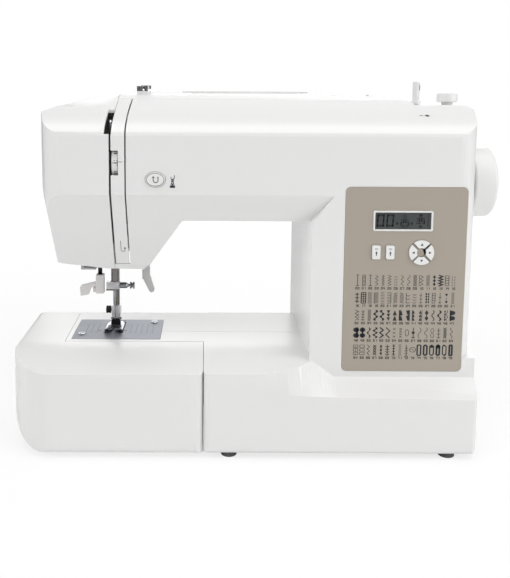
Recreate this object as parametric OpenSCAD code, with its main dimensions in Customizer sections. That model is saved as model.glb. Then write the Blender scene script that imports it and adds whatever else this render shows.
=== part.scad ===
// Compact computerised sewing machine with a free arm and a slide-off extension table.
// Sizes are in millimetres. Z is up, X runs to the right along the arm, Y runs to the back.

/* [Body] */
// Length of the bed from its left end to the inner face of the column
bed_reach = 248.7; // [235:1:270]
// Width of the column between its inner face and its right side
column_w = 146; // [140:1:160]
// Distance that the handwheel stands out of the right side
wheel_out = 21.8; // [19:0.2:26]
// Depth from the needle to the front of the base
base_front = 95; // [92:1:105]
// Depth from the needle to the back of the base
base_rear = 80; // [76:1:95]
// Depth from the needle to the front face of the arm
face_front = 74; // [72:1:80]
// Depth from the needle to the back of the arm
arm_rear = 70; // [66:1:74]
// Height of the bed above the floor
bed_h = 78; // [76:1:84]
// Clear height between the bed and the arm
throat_h = 111.2; // [106:1:120]
// Height of the arm from its underside to the top ridge
arm_h = 105.3; // [103:1:112]
// Height of the crease that divides the front face from the sloping top
crease_drop = 34.8; // [30:1:38]
// Height from the underside of the arm to the crease over the lower chamfer
chamfer_h = 22.8; // [20:1:26]
// Wall thickness of the moulded covers
wall = 2.5; // [2:0.1:3]
// Gap along the seams between the covers
seam = 0.4; // [0.2:0.1:0.6]
// Height of the rubber feet
foot_h = 4.5; // [4:0.5:6]

/* [Head] */
// Distance from the left end of the bed to the needle
needle_x = 80; // [79:0.5:81]
// Depth that the head hangs below the underside of the arm
head_drop = 46.2; // [43:1:50]
// Width of the channel strip between the two thread slots
channel_w = 10.9; // [10:0.1:12]
// Width of the left thread slot
slot_w = 1.6; // [1.2:0.1:1.8]

/* [Free arm and table] */
// Distance from the left end of the bed to the free arm
arm_inset = 41; // [40:1:43]
// Distance from the left end of the bed to the seam of the extension table
table_seam_x = 161.7; // [158:1:166]
// Depth from the needle to the front of the free arm
free_front = 38; // [37:1:40]
// Depth from the needle to the back of the free arm
free_rear = 48; // [47:1:50]
// Height of the underside of the free arm above the floor
free_under = 20; // [17:1:21]
// Gap between the extension table and the free arm
table_gap = 0.4; // [0.3:0.1:0.6]

/* [Control panel] */
// Width of the control panel
panel_w = 98.5; // [94:0.5:102]
// Height of the control panel
panel_h = 153; // [148:1:156]
// Thickness of the control panel
panel_t = 1.2; // [1:0.1:1.6]
// Width of the display bezel
bezel_w = 48.5; // [46:0.5:52]
// Height of the display bezel
bezel_h = 16.8; // [16:0.2:18]
// Travel of each key
key_travel = 0.8; // [0.5:0.1:1]

/* [Drive] */
// Radius of the handwheel
wheel_r = 31.3; // [29:0.5:33]
// Radius of the arm shaft and of the lower shaft
shaft_r = 5; // [4:0.25:5.5]
// Radial running clearance of the shafts and bars in their bushes
run_gap = 0.03; // [0.02:0.01:0.05]
// Radius of the needle bar
needle_bar_r = 3.4; // [3:0.1:3.6]
// Radius of the presser bar
presser_bar_r = 3; // [2.8:0.1:3.4]
// Distance from the needle bar back to the presser bar
presser_back = 11; // [10.6:0.2:12]
// Radius of the motor body
motor_r = 22; // [20:0.5:24]

/* [Needle plate] */
// Width of the needle plate
plate_w = 77.7; // [74:0.5:79]
// Depth of the needle plate
plate_d = 55; // [52:1:57]
// Thickness of the needle plate
plate_t = 2; // [1.6:0.1:2.2]

/* [Hidden] */
$fn = 48;

// Overall sizes and the place of the row's origin under the middle of the footprint
right_x = bed_reach + column_w;
total_w = right_x + wheel_out;
mid_y = (base_rear - base_front) / 2;

// Heights of the arm
arm_z = bed_h + throat_h;
ridge_z = arm_z + arm_h;
crease_z = ridge_z - crease_drop;
chamfer_z = arm_z + chamfer_h;
head_z = arm_z - head_drop;
seam_y = -10;
flare = 15;
flare_run = face_front + seam_y;
taper = 12;
crown_run = 94;

// Ends of the head and its slots
head_left = needle_x - 62.3;
strip_x0 = needle_x + 6.6;
strip_x1 = strip_x0 + channel_w;
cover_x0 = strip_x1 + 1.2;
strip_z = head_z + 5;
mouth_back = -41;

// Lower chamfer: one plane from the crease down to the lip of the head
chamfer_back = 34;
chamfer_drop = chamfer_z - head_z;

// Front of the bed
floor_z = foot_h;
edge_r = 6;
base_flare = 13;
front_lip = 8;
slope_run = 57;

// Rounded left end of the table, in plan and from the front
table_round_x = 40;
table_round_y = 55;
table_end_x = 32;
table_end_z = 34;

// Shelf at the foot of the column
facet_x = bed_reach - 44;
shelf_z = 61.6;
shelf_lip_z = 52.2;

// Free arm, plate and hook
plate_x = needle_x + 4.2;
plate_y = -4.5;
plate_z0 = bed_h - plate_t + 0.2;
hook_z = (bed_h + free_under) / 2 - 1;
hook_r = (bed_h - free_under) / 2 - 10;
hook_front = -27;
hook_back = 2.6;
cup_back = -3;
door_x0 = needle_x - 27;
door_x1 = needle_x + 29;
door_z0 = free_under + 6;
door_z1 = bed_h - 7;
door_t = wall;
door_pin_r = 0.8;
door_pin_y = -free_front + door_t / 2;
door_pin_z = door_z0 + 0.5 + door_t / 2;

// Drive lines
shaft_z = arm_z + 26.2;
lower_y = 20;
lower_z = hook_z;
bush_t = 2;
frame_y = 39;
frame_t = 5;
lug_r = 11;
belt_x = bed_reach + 14;
belt_w = 8;
pulley_r = 15;
drive_x = right_x - 36;
motor_y = 6;
motor_z = bed_h + 34;
motor_pulley_r = 7;
motor_x0 = drive_x - 44;
motor_x1 = drive_x - 8;
rotor_r = 15;
rotor_shaft_r = 3;
rotor_x0 = drive_x - 38;
rotor_x1 = drive_x - 18;
drive_r = 30;
fit = 0.35;
wheel_gap = 0.8;
wheel_face = wheel_out - wheel_gap;
rim_r = 1.5;
crown_r = 4.5;

// Control panel, measured from the column and the shelf
panel_x = bed_reach + 75.8;
panel_z = shelf_z + 4.9 + panel_h / 2;
panel_proud = 0.2;
panel_front = -face_front - panel_proud;
bezel_x = panel_x - 2.5;
bezel_z = panel_z + 49;
key_z = panel_z + 23.3;
key_w = 7.4;
key_h = 12;
key_x1 = panel_x - 23.6;
key_x2 = panel_x - 12.3;
pad_x = panel_x + 13;
pad_r = 10.4;
pad_web = 0.9;
key_gap = 0.3;
key_proud = 1.4;
key_depth = 5;

// Reverse button
reverse_x = needle_x + 42.3;
reverse_z = crease_z - 35.1;
reverse_w = 16;
reverse_h = 12.1;

// Bobbin winder and spool pin
platform_z = ridge_z - 10.5;
winder_x = right_x - 45.8;
stop_x = right_x - 18;
spool_x0 = right_x - 124;
spool_x1 = right_x - 54;
spool_y = 24;
spool_z = ridge_z - 13.5;
spool_r = 17;

// Carrying handle in its well
handle_x1 = spool_x0 - 16;
handle_x0 = handle_x1 - 114;
handle_y0 = 14;
handle_y1 = 46;
handle_d = 15;

// Sections of the facet from left to right: x, then the depth and height of its upper edge,
// then the height of its lower edge on the front of the base
facet_sections = [
  [needle_x + 4, -base_front, bed_h - 8, bed_h - 8.2],
  [needle_x + 14, -base_front + 0.3, bed_h - 7.9, shelf_lip_z + 9.8],
  [needle_x + 30.4, -base_front + 0.7, bed_h - 7.8, shelf_lip_z + 6.9],
  [needle_x + 83, -base_front + 1.4, bed_h - 7.6, shelf_lip_z + 4.1],
  [facet_x, -base_front + 2, bed_h - 7.4, shelf_lip_z + 2.4],
  [facet_x + 20, -base_front + 6.5, bed_h - 6, shelf_lip_z + 1.9],
  [bed_reach - 10, -base_front + 13, bed_h - 3, shelf_lip_z + 1.4],
  [bed_reach - 1.9, -face_front, bed_h - 0.7, shelf_lip_z + 1],
  [bed_reach + 8.9, -face_front, shelf_z + 8.9, shelf_lip_z + 0.6],
  [bed_reach + 20.7, -face_front, shelf_z, shelf_lip_z + 0.2],
  [right_x + 20, -face_front, shelf_z, shelf_lip_z - 2.2]];

// Feet and cover screws
foot_places = [
  [table_seam_x + 21, -base_front + 10], [right_x - 34, -base_front + 10],
  [table_seam_x + 21, free_rear - 14], [right_x - 34, base_rear - 14]];
cover_screw_places = [[needle_x + 60, arm_z + 16], [bed_reach + 40, arm_z + 16],
  [right_x - 30, ridge_z - 30], [right_x - 30, bed_h + 20], [bed_reach + 25, bed_h + 20]];
cover_screw_r = 3;

// Lugs of the inner frame and their bushes
arm_lugs = [needle_x + 38, bed_reach + 42, right_x - 52];
lower_lugs = [needle_x + 50, bed_reach - 12];
lug_w = 8;
bush_heights = [head_z + 7, arm_z + 44];

// Screws and slots of the needle plate
plate_screw_places = [
  [plate_x + plate_w / 2 - 8, plate_y + plate_d / 2 - 8],
  [plate_x - plate_w / 2 + 7, plate_y - plate_d / 2 + 13]];
feed_slots = [[-8, -5, -13, 13], [5, 8, -13, 13], [-3.5, 3.5, 5, 13]];

// Needle clamp, presser and its lifter
clamp_z = bed_h + 36;
rod_cx = needle_x - 12.9;
rod_cy = -3;
rod_r = 1.9;
wing_outline = [[-16.4, 8.3], [-29, 5.2], [-31, 3.4], [-30.5, -4.7], [-23, -3.1], [-21, 2.8], [-16.4, 4.6]];
ankle_z = bed_h + 9;
foot_pin_y = 8.4;
collar_z = arm_z + 10;
collar_h = 4;
lifter_z = head_z + 24;
lifter_x = needle_x + 27;
lifter_y = presser_back + 9;
lifter_pin_r = 3;
lifter_knee = lifter_z - 45;
lifter_tip = lifter_z - 58;

// Thread path
lever_x = needle_x + 4.4;
lever_y = -14;
lever_z = shaft_z + 19;
lever_pin_r = 2.4;
eye_y = lever_y - 38;
eye_z = lever_z + 33.6;
guide_y = 28;
dial_r = 15;
dial_y = -face_front + 15.8;
dial_z = crease_z - 22;

// Hook shafts and the circuit board
case_r = hook_r - 3.4;
case_bore_r = case_r - 4.4;
bobbin_r = case_bore_r - 0.4;
hook_shaft_r = 4;
bobbin_pin_r = 3;
board_y = -face_front + wall + 6.2;

// Mains inlet and switch
socket_y = 30;
socket_z = floor_z + 30;
rocker_z = socket_z + 26;
rocker_pin_r = 0.8;
rocker_rest = 8;

// Winder, spool pin and handle pivots
winder_y = 0;
spool_pin_r = 2.5;
spool_step = spool_x0 + 39;
handle_pivot_z = ridge_z - handle_d + 6;
handle_pivot_y = handle_y1 - 6;

// Colours
white = [0.93, 0.93, 0.92];
steel = [0.72, 0.73, 0.75];
dark = [0.12, 0.12, 0.13];

// ---------------------------------------------------------------- helpers
module placed() { translate([-total_w / 2, -mid_y, 0]) children(); }
module xz(y0, y1) { translate([0, y1, 0]) rotate([90, 0, 0]) linear_extrude(y1 - y0) children(); }
module yz(x0, x1) { translate([x0, 0, 0]) rotate([90, 0, 90]) linear_extrude(x1 - x0) children(); }
module xy(z0, z1) { translate([0, 0, z0]) linear_extrude(z1 - z0) children(); }
module box(x0, x1, y0, y1, z0, z1) { translate([x0, y0, z0]) cube([x1 - x0, y1 - y0, z1 - z0]); }
module rod_x(x0, x1, y, z, r) { translate([x0, y, z]) rotate([0, 90, 0]) cylinder(h = x1 - x0, r = r); }
module rod_y(x, y0, y1, z, r) { translate([x, y1, z]) rotate([90, 0, 0]) cylinder(h = y1 - y0, r = r); }
module rod_z(x, y, z0, z1, r) { translate([x, y, z0]) cylinder(h = z1 - z0, r = r); }
module inset(t, r, n = 24) { offset(r = r, $fn = n) offset(delta = -r - t) children(); }
module slab(x0, x1, z0, z1, r) {
  offset(r = r, $fn = 24) translate([x0 + r, z0 + r]) square([x1 - x0 - 2 * r, z1 - z0 - 2 * r]);
}

// ---------------------------------------------------------------- outer forms
// Each form takes an inset, so that the same profile draws the outside and the cavity.
module head_side(t) {
  inset(t, 3) polygon([
    [head_left + taper, head_z + 8.2], [head_left, chamfer_z - 2], [head_left, ridge_z - 32],
    [head_left + 2, ridge_z - 19.5], [head_left + 17, ridge_z - 13.3],
    [head_left + 43, ridge_z - 7], [head_left + 69, ridge_z - 2.5],
    [head_left + 79, ridge_z], [bed_reach + 16, ridge_z], [bed_reach + 18.4, ridge_z - 3],
    [bed_reach + 57.4, ridge_z - 3.5], [spool_x1, ridge_z - 7.5],
    [spool_x1 + 1, platform_z], [right_x - 9.7, platform_z], [right_x - 2.4, ridge_z - 17.5],
    [right_x + 6, ridge_z - 28], [right_x + 6, floor_z],
    [bed_reach, floor_z], [bed_reach, arm_z], [needle_x + 65, arm_z],
    [needle_x + 63, arm_z - 1], [needle_x + 36, head_z + 5.3], [needle_x + 30, head_z],
    [needle_x - 1, head_z + 0.4], [head_left + 23.4, head_z + 5.2]]);
}
module head_plan(t) {
  inset(t, 17, 48) polygon([
    [head_left + flare, -face_front], [head_left, seam_y], [head_left, arm_rear - 14],
    [head_left + 10, arm_rear], [right_x - 10, arm_rear], [right_x, arm_rear - 14],
    [right_x, seam_y + 3], [right_x - flare, -face_front]]);
}
// The top rises from the crease in a crown that flattens towards the ridge
module arm_section(t) {
  inset(t, 2) polygon(concat([[-face_front, floor_z], [-face_front, crease_z]],
    [for (k = [0.1:0.05:1]) [-face_front + crown_run * pow(k, 2), crease_z + crease_drop * pow(k, 1.1)]],
    [[arm_rear - 18, ridge_z], [arm_rear - 6, ridge_z - 5], [arm_rear, ridge_z - 17], [arm_rear, floor_z]]));
}
// Room outside the left end of the head, which leans in towards the bottom along its whole flare
module left_taper(t) {
  along = flare / flare_run;
  down = taper / (chamfer_z - 2 - head_z - 3);
  lean = atan(down / sqrt(1 + along * along));
  translate([head_left, seam_y, chamfer_z - 2]) rotate([0, 90 + lean, atan(along) - 180])
    translate([-200, -200, -t]) cube([400, 400, 250]);
}
// Wedge that cuts the chamfer under the arm, ended by the mitre at the column
module chamfer_wedge(t) {
  k = chamfer_back / chamfer_drop;
  intersection() {
    yz(-50, bed_reach + 18 + t) offset(delta = t) polygon([
      [-face_front - 10, chamfer_z + 10 / k], [-face_front - 40, chamfer_z],
      [-face_front - 40, head_z - 60], [-face_front + chamfer_back + 60 * k, head_z - 60]]);
    xz(-face_front - 60, arm_rear) offset(delta = t) polygon([
      [-60, head_z - 70], [bed_reach, head_z - 70], [bed_reach, arm_z],
      [bed_reach + 18, chamfer_z], [bed_reach + 18, chamfer_z + 60], [-60, chamfer_z + 60]]);
  }
}
module upper_form(t) {
  difference() {
    intersection() {
      xz(-face_front - 10, arm_rear + 10) head_side(t);
      yz(-10, right_x + 20) arm_section(t);
      xy(0, ridge_z + 10) head_plan(t);
    }
    chamfer_wedge(t);
    left_taper(t);
  }
}
// Front of the bed: a soft curve down to the lip, then the sculpted facet that widens to the right.
// The cavity keeps clear of the facet with two plain prisms.
module bed_front_cuts(t) {
  yz(-10, bed_reach + 20.3) offset(delta = t) polygon(concat(
    [for (k = [0:9]) let (run = k / 9 * (slope_run + 10)) [-base_front + slope_run - run, bed_curve(run)]],
    [[-base_front - 10, bed_h + 30], [-base_front + slope_run, bed_h + 30]]));
  if (t == 0) facet();
  else {
    front_room(needle_x - 2, facet_x, -base_front + 3 + t, shelf_lip_z - 2);
    front_room(facet_x - 1, right_x + 20, -face_front + t, shelf_lip_z - 2 - t);
  }
}
function bed_curve(run) = bed_h - front_lip * pow(run / slope_run, 2);
module front_room(x0, x1, y, z) {
  yz(x0, x1) polygon([[y, shelf_z - wall], [-base_front - 5, z - wall],
    [-base_front - 5, bed_h + 30], [y, bed_h + 30]]);
}
// Row between section i and the next, on a smooth curve through their neighbours
function facet_row(i, s) = let (
  a = facet_sections[max(i - 1, 0)], b = facet_sections[i], c = facet_sections[i + 1],
  d = facet_sections[min(i + 2, len(facet_sections) - 2)])
  b + (c - a) * s / 2 + (2 * a - 5 * b + 4 * c - d) * s * s / 2 + (3 * b - a - 3 * c + d) * s * s * s / 2;
module facet() {
  ahead = -base_front - 30;
  rows = concat([for (i = [0:len(facet_sections) - 3], k = [0:3]) facet_row(i, k / 4)],
    [facet_sections[len(facet_sections) - 2], facet_sections[len(facet_sections) - 1]]);
  last = len(rows) - 1;
  polyhedron(
    points = [for (s = rows) each [
      [s[0], ahead, s[3]], [s[0], -base_front, s[3]], [s[0], s[1], s[2]], [s[0], s[1], bed_h + 40],
      [s[0], ahead, bed_h + 40]]],
    faces = concat([[0, 1, 2, 3, 4]],
      [for (i = [0:last - 1], j = [0:4]) let (a = 5 * i + j, b = 5 * i + (j + 1) % 5) each [
        [a, a + 5, b], [b, a + 5, b + 5]]],
      [[for (j = [4:-1:0]) 5 * last + j]]));
}
module base_plan(t) {
  inset(t, 6) polygon([
    [table_seam_x, -base_front], [right_x - base_flare, -base_front], [right_x, seam_y + 3],
    [right_x, base_rear - 16], [right_x - 6, base_rear - 4], [right_x - 18, base_rear],
    [bed_reach + 8, base_rear], [bed_reach, base_rear - 8], [bed_reach, free_rear],
    [table_seam_x, free_rear]]);
}
module base_form(t) {
  difference() {
    intersection() {
      xy(floor_z + t, bed_h - t) base_plan(t);
      yz(0, right_x + 10) inset(t, 3) polygon([
        [-base_front + 1.5, floor_z], [-base_front, floor_z + 3], [-base_front, bed_h],
        [base_rear - 4, bed_h], [base_rear, bed_h - 8], [base_rear, floor_z]]);
    }
    bed_front_cuts(t);
    lower_edge(t, 0, base_rear - seam_y);
    lower_edge(t, -atan(base_flare / (base_front + seam_y + 3)), 0.5);
  }
}
// Rounds the lower edge of the base along its right side
module lower_edge(t, turn, back) {
  translate([right_x, seam_y + 3, floor_z]) rotate([0, 0, turn]) xz(turn == 0 ? 0 : -base_front - 10, back)
    difference() {
      translate([-edge_r, -1]) square(edge_r + 1);
      translate([-edge_r, edge_r]) circle(edge_r - t);
    }
}
module free_arm_form(t) {
  yz(arm_inset + t, bed_reach + 12) inset(t, 2) polygon([
    [-free_front, free_under], [-free_front, bed_h], [free_rear, bed_h], [free_rear, free_under + 6],
    [free_rear - 8, free_under]]);
}
// Whole moulded body before it is split into covers
module body_solid() {
  upper_form(0);
  base_form(0);
  free_arm_form(0);
}
module body_cavity() {
  difference() {
    union() {
      upper_form(wall);
      base_form(wall);
      free_arm_form(wall);
    }
    well_walls(wall);
  }
}
// Wells in the top: one for the handle, one for the spool
module wells() {
  box(handle_x0, handle_x1, handle_y0, handle_y1, ridge_z - handle_d, ridge_z + 5);
  box(spool_x0, spool_x1, spool_y - spool_r, spool_y + spool_r, spool_z - spool_r, ridge_z + 5);
}
module well_walls(t) {
  box(handle_x0 - t, handle_x1 + t, handle_y0 - t, handle_y1 + t, ridge_z - handle_d - t, ridge_z + 5);
  box(spool_x0 - t, spool_x1 + t, spool_y - spool_r - t, spool_y + spool_r + t,
    spool_z - spool_r - t, ridge_z + 5);
}
// Openings of the covers
module head_mouth() {
  box(needle_x - 24, needle_x + 37, -30, 30, head_z - 10, head_z + 12);
  box(lifter_x - 6, lifter_x + 12, 10, arm_rear + 10, head_z - 10, head_z + 36);
}
module take_up_mouth() {
  box(needle_x + 1.2, strip_x0 + 0.4, -face_front - 5, mouth_back, crease_z + 1, ridge_z + 10);
}
module door_opening() {
  box(door_x0, door_x1, -free_front - 5, -free_front + wall + 1, door_z0, door_z1);
  rod_x(door_x0 - 2.4, door_x1 + 2.4, door_pin_y, door_pin_z, door_pin_r + 0.05);
}
module board_posts() {
  for (x = [panel_x - 38, panel_x + 30], z = [panel_z - 6, panel_z + 60])
    rod_y(x, -face_front + wall - 0.5, board_y, z, 3);
}
module plate_seat(g) {
  box(plate_x - plate_w / 2 - g, plate_x + plate_w / 2 + g, plate_y - plate_d / 2 - g,
    plate_y + plate_d / 2 + g, plate_z0, bed_h + 5);
  box(needle_x - 22, needle_x + 26, plate_y - plate_d / 2 + 3, plate_y + plate_d / 2 - 3,
    bed_h - wall - 5, bed_h + 5);
}
module shell() {
  difference() {
    body_solid();
    body_cavity();
    wells();
    head_mouth();
    take_up_mouth();
    door_opening();
    plate_seat(0.3);
  }
}

// ---------------------------------------------------------------- covers

module face_cover() {
  color(white) intersection() {
    shell();
    union() {
      box(-10, strip_x0 - slot_w, -200, 200, head_z - 10, ridge_z + 20);
      box(strip_x0 - slot_w - 1, strip_x0 - 0.3, mouth_back, seam_y - seam / 2, crease_z, ridge_z + 20);
    }
  }
}
module channel_strip() {
  color(white) difference() {
    intersection() {
      shell();
      box(strip_x0, strip_x1, -200, seam_y - seam / 2, strip_z + seam, ridge_z + 20);
    }
    dial_window();
  }
  color(white) {
    box(strip_x0 + 6.8, strip_x0 + 8.8, -face_front + wall - 0.5, dial_y + 4, dial_z - 4, dial_z + 4);
    rod_x(strip_x0 + 0.9, strip_x0 + 6.8, dial_y, dial_z, 2 - run_gap);
  }
}
module dial_window() {
  box(strip_x0 - 1, strip_x0 + 5.8, -face_front - 5, -face_front + 8, dial_z - 10, dial_z + 10);
}
module front_cover() {
  color(white) board_posts();
  color(white) difference() {
    intersection() {
      shell();
      union() {
        box(cover_x0, right_x + 20, -200, seam_y - seam / 2, head_z - 10, ridge_z + 20);
        box(strip_x0 - slot_w + seam, cover_x0 + 1, -200, seam_y - seam / 2, head_z - 10, strip_z);
        box(arm_inset - 10, right_x + 20, -200, seam_y - seam / 2, 0, head_z - 10);
      }
    }
    panel_pocket();
    reverse_hole();
    winder_hole();
    socket_hole();
    wheel_hole();
    bottom_opening();
  }
}
module rear_cover() {
  color(white) difference() {
    intersection() {
      shell();
      union() {
        box(strip_x0 - slot_w + seam, right_x + 20, seam_y + seam / 2, 200, head_z - 10, ridge_z + 20);
        box(arm_inset - 10, right_x + 20, seam_y + seam / 2, 200, 0, head_z - 10);
      }
    }
    winder_hole();
    socket_hole();
    wheel_hole();
    bottom_opening();
    handle_pivots(run_gap);
    spool_socket();
    cover_screw_holes();
  }
}
// The base is open underneath and closed by its own plate
module bottom_opening() {
  xy(-5, floor_z + wall + 0.01) offset(delta = -wall - 1) base_plan(0);
}
module base_plate() {
  color([0.3, 0.3, 0.31]) difference() {
    xy(floor_z, floor_z + wall) offset(delta = -wall - 1.3) base_plan(0);
    for (p = foot_places) rod_z(p[0], p[1], 0, 20, 3);
  }
}
module rubber_feet() {
  color([0.25, 0.25, 0.25]) for (p = foot_places) {
    rod_z(p[0], p[1], 0, foot_h, 6.5);
    rod_z(p[0], p[1], foot_h, foot_h + wall + 1, 2.8);
  }
}
// Screws at the back of the covers, and the two countersunk ones that hold the needle plate
module cover_screw_holes() {
  for (p = cover_screw_places) rod_y(p[0], arm_rear - wall - 1, arm_rear + 1, p[1], cover_screw_r);
}
module screws() {
  color(steel) {
    for (p = cover_screw_places) difference() {
      rod_y(p[0], arm_rear - wall, arm_rear + 0.6, p[1], cover_screw_r);
      box(p[0] - 2.4, p[0] + 2.4, arm_rear - 0.4, arm_rear + 2, p[1] - 0.4, p[1] + 0.4);
    }
    for (p = plate_screw_places) difference() {
      union() {
        rod_z(p[0], p[1], plate_z0 + plate_t, plate_z0 + plate_t + 0.9, 3.2);
        rod_z(p[0], p[1], plate_z0, plate_z0 + plate_t, 1.5);
      }
      box(p[0] - 4, p[0] + 4, p[1] - 0.4, p[1] + 0.4, plate_z0 + plate_t + 0.4, bed_h + 5);
    }
  }
}

// ---------------------------------------------------------------- extension table
// Quarter of an oval about (x, y), from its lowest point round to its left
function quarter(x, y, rx, ry) = [for (a = [0:7.5:90]) [x - rx * sin(a), y - ry * cos(a)]];
module table_plan(t) {
  inset(t, 8) polygon(concat([[0, free_rear - 6], [6, free_rear], [table_seam_x, free_rear],
    [table_seam_x, -base_front]], quarter(table_round_x, table_round_y - base_front, table_round_x, table_round_y)));
}
module table_side(t) {
  inset(t, 4) polygon(concat([[0, bed_h], [table_seam_x + 20, bed_h], [table_seam_x + 20, floor_z]],
    quarter(table_end_x, floor_z + table_end_z, table_end_x, table_end_z)));
}
module table_section(t) {
  inset(t, 2) polygon([
    [-base_front + 1.5, floor_z], [-base_front, floor_z + 3], [-base_front, bed_h],
    [free_rear, bed_h], [free_rear, floor_z]]);
}
module table_form(t) {
  difference() {
    intersection() {
      xy(floor_z + t, bed_h - t) table_plan(t);
      xz(-base_front - 5, free_rear + 5) table_side(t);
      yz(-5, table_seam_x + 5) table_section(t);
    }
    bed_front_cuts(t);
    box(arm_inset - table_gap - t, table_seam_x + 50, -free_front - table_gap - t, free_rear + 50, -5, bed_h + 20);
    box(table_seam_x - table_gap - t, table_seam_x + 50, -200, 200, -5, bed_h + 20);
  }
}
module extension_table() {
  color(white) difference() {
    table_form(0);
    table_form(wall);
    box(arm_inset + 6, table_seam_x - 8, -free_front - table_gap - wall - 1, -free_front + 5,
      floor_z + 8, bed_h - 6);
  }
}

// ---------------------------------------------------------------- hook door
module bobbin_door() {
  color(white) difference() {
    union() {
      box(door_x0 + 0.5, door_x1 - 0.5, -free_front, -free_front + door_t, door_pin_z, door_z1 - 0.5);
      rod_x(door_x0 + 0.5, door_x1 - 0.5, door_pin_y, door_pin_z, door_t / 2);
      rod_x(door_x0 - 2, door_x1 + 2, door_pin_y, door_pin_z, door_pin_r);
    }
    rod_y((door_x0 + door_x1) / 2, -free_front - 5, -free_front + 1.2, door_z1 - 7, 5);
  }
}

// ---------------------------------------------------------------- frame
module frame_lug(x, w, y, z) {
  rod_x(x, x + w, y, z, lug_r);
  box(x, x + w, y, frame_y + 1, z - lug_r * 0.7, z + lug_r * 0.7);
}
module frame_casting() {
  color([0.6, 0.61, 0.63]) difference() {
    union() {
      xz(frame_y, frame_y + frame_t) polygon([
        [needle_x - 14, head_z + 6], [needle_x + 18, head_z + 6], [needle_x + 18, arm_z + 8],
        [bed_reach + 50, arm_z + 8], [bed_reach + 50, bed_h - 10], [needle_x - 22, bed_h - 10],
        [needle_x - 22, free_under + 7], [right_x - 24, free_under + 7],
        [right_x - 24, arm_z + 62], [needle_x - 14, arm_z + 62]]);
      for (x = arm_lugs) frame_lug(x, lug_w, 0, shaft_z);
      for (x = lower_lugs) frame_lug(x, lug_w, lower_y, lower_z);
      for (z = bush_heights) {
        box(needle_x - 9, needle_x + 9, -7, frame_y + 1, z, z + lug_w);
      }
      box(rod_cx - 4, needle_x - 8, -7, frame_y + 1, bush_heights[0], bush_heights[0] + lug_w);
      box(needle_x + 12, needle_x + 18, lifter_y - 6, frame_y + 1, lifter_z - 6, lifter_z + 6);
      box(needle_x + 13, needle_x + 19, lever_y - 5, frame_y + 1, lever_z - 4.4, lever_z + 4.4);
      box(motor_x0 - 6, motor_x0, motor_y, frame_y + 1, motor_z - 14, motor_z + 14);
    }
    for (x = arm_lugs) rod_x(x - 1, x + lug_w + 1, 0, shaft_z, shaft_r + bush_t);
    for (x = lower_lugs) rod_x(x - 1, x + lug_w + 1, lower_y, lower_z, shaft_r + bush_t);
    for (z = bush_heights) {
      rod_z(needle_x, 0, z - 1, z + lug_w + 1, needle_bar_r + bush_t);
      rod_z(needle_x, presser_back, z - 1, z + lug_w + 1, presser_bar_r + bush_t);
    }
    rod_z(rod_cx, rod_cy, head_z, bush_heights[0] + lug_w + 1, rod_r + run_gap);
    rod_x(motor_x0 - 11, motor_x0 + 4, motor_y, motor_z, 7);
    rod_x(needle_x + 11, needle_x + 20, lifter_y, lifter_z, lifter_pin_r + run_gap);
    rod_x(needle_x + 12, needle_x + 20, lever_y, lever_z, lever_pin_r + run_gap);
  }
}

// ---------------------------------------------------------------- needle plate and feed
module needle_plate() {
  color(steel) difference() {
    xy(plate_z0, plate_z0 + plate_t) offset(r = 1.5) offset(delta = -1.5)
      translate([plate_x, plate_y]) square([plate_w, plate_d], center = true);
    hull() for (dx = [-2.5, 2.5]) rod_z(needle_x + dx, 0, bed_h - 5, bed_h + 5, 1.1);
    for (s = feed_slots) box(needle_x + s[0] - 0.4, needle_x + s[1] + 0.4, s[2] - 3, s[3] + 3,
      bed_h - 5, bed_h + 5);
    for (p = plate_screw_places) rod_z(p[0], p[1], bed_h - 5, bed_h + 5, 1.7);
  }
}
module feed_dogs() {
  color(steel) for (s = feed_slots) {
    n = floor((s[3] - s[2]) / 1.6);
    box(needle_x + s[0], needle_x + s[1], s[2], s[3], bed_h - 6, bed_h - 0.2);
    for (i = [0:n - 1]) yz(needle_x + s[0], needle_x + s[1]) polygon([
      [s[2] + i * 1.6, bed_h - 0.2], [s[2] + i * 1.6 + 1.5, bed_h - 0.2], [s[2] + i * 1.6 + 1.5, bed_h + 0.5]]);
  }
}
module feed_bar() {
  color(steel) difference() {
    box(needle_x - 8, needle_x + 12, -14, 13, bed_h - 7.5, bed_h - 6);
    box(needle_x - 3.5, needle_x + 3.5, -6, 4.5, bed_h - 8, bed_h - 5);
    box(needle_x + 8, needle_x + 13, -15, 6, bed_h - 8, bed_h - 5);
  }
}

// ---------------------------------------------------------------- needle bar
module needle_bar() {
  color(steel) {
    rod_z(needle_x, 0, clamp_z + 8, ridge_z - 42, needle_bar_r);
    difference() {
      box(needle_x - 5, needle_x + 6, -6, 4.4, shaft_z - 13, shaft_z - 5);
      rod_z(needle_x, 0, shaft_z - 14, shaft_z - 4, needle_bar_r - 0.1);
    }
  }
}
module needle_clamp() {
  color(steel) difference() {
    union() {
      rod_z(needle_x, 0, clamp_z, clamp_z + 8, 4.6);
      box(needle_x - 7.2, needle_x + 4.6, -4.6, 3, clamp_z + 1, clamp_z + 7.8);
    }
    rod_z(needle_x, 0, clamp_z - 1, clamp_z + 5.5, 1.05);
    rod_x(needle_x + 1, needle_x + 10, 0, clamp_z + 4, 1.25);
  }
}
module clamp_screw() {
  color(steel) {
    translate([needle_x, 0, clamp_z + 4]) rotate([0, 90, 0]) rotate_extrude() polygon([
      [0, 1.1], [1.25, 1.1], [1.25, 4.9], [2.7, 4.9], [2.7, 10.5], [1.2, 13], [1.2, 14],
      [3.1, 14], [3.1, 15.2], [2, 15.6], [2, 16.4], [3.1, 16.8], [3.1, 18], [0, 18]]);
  }
}
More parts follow.
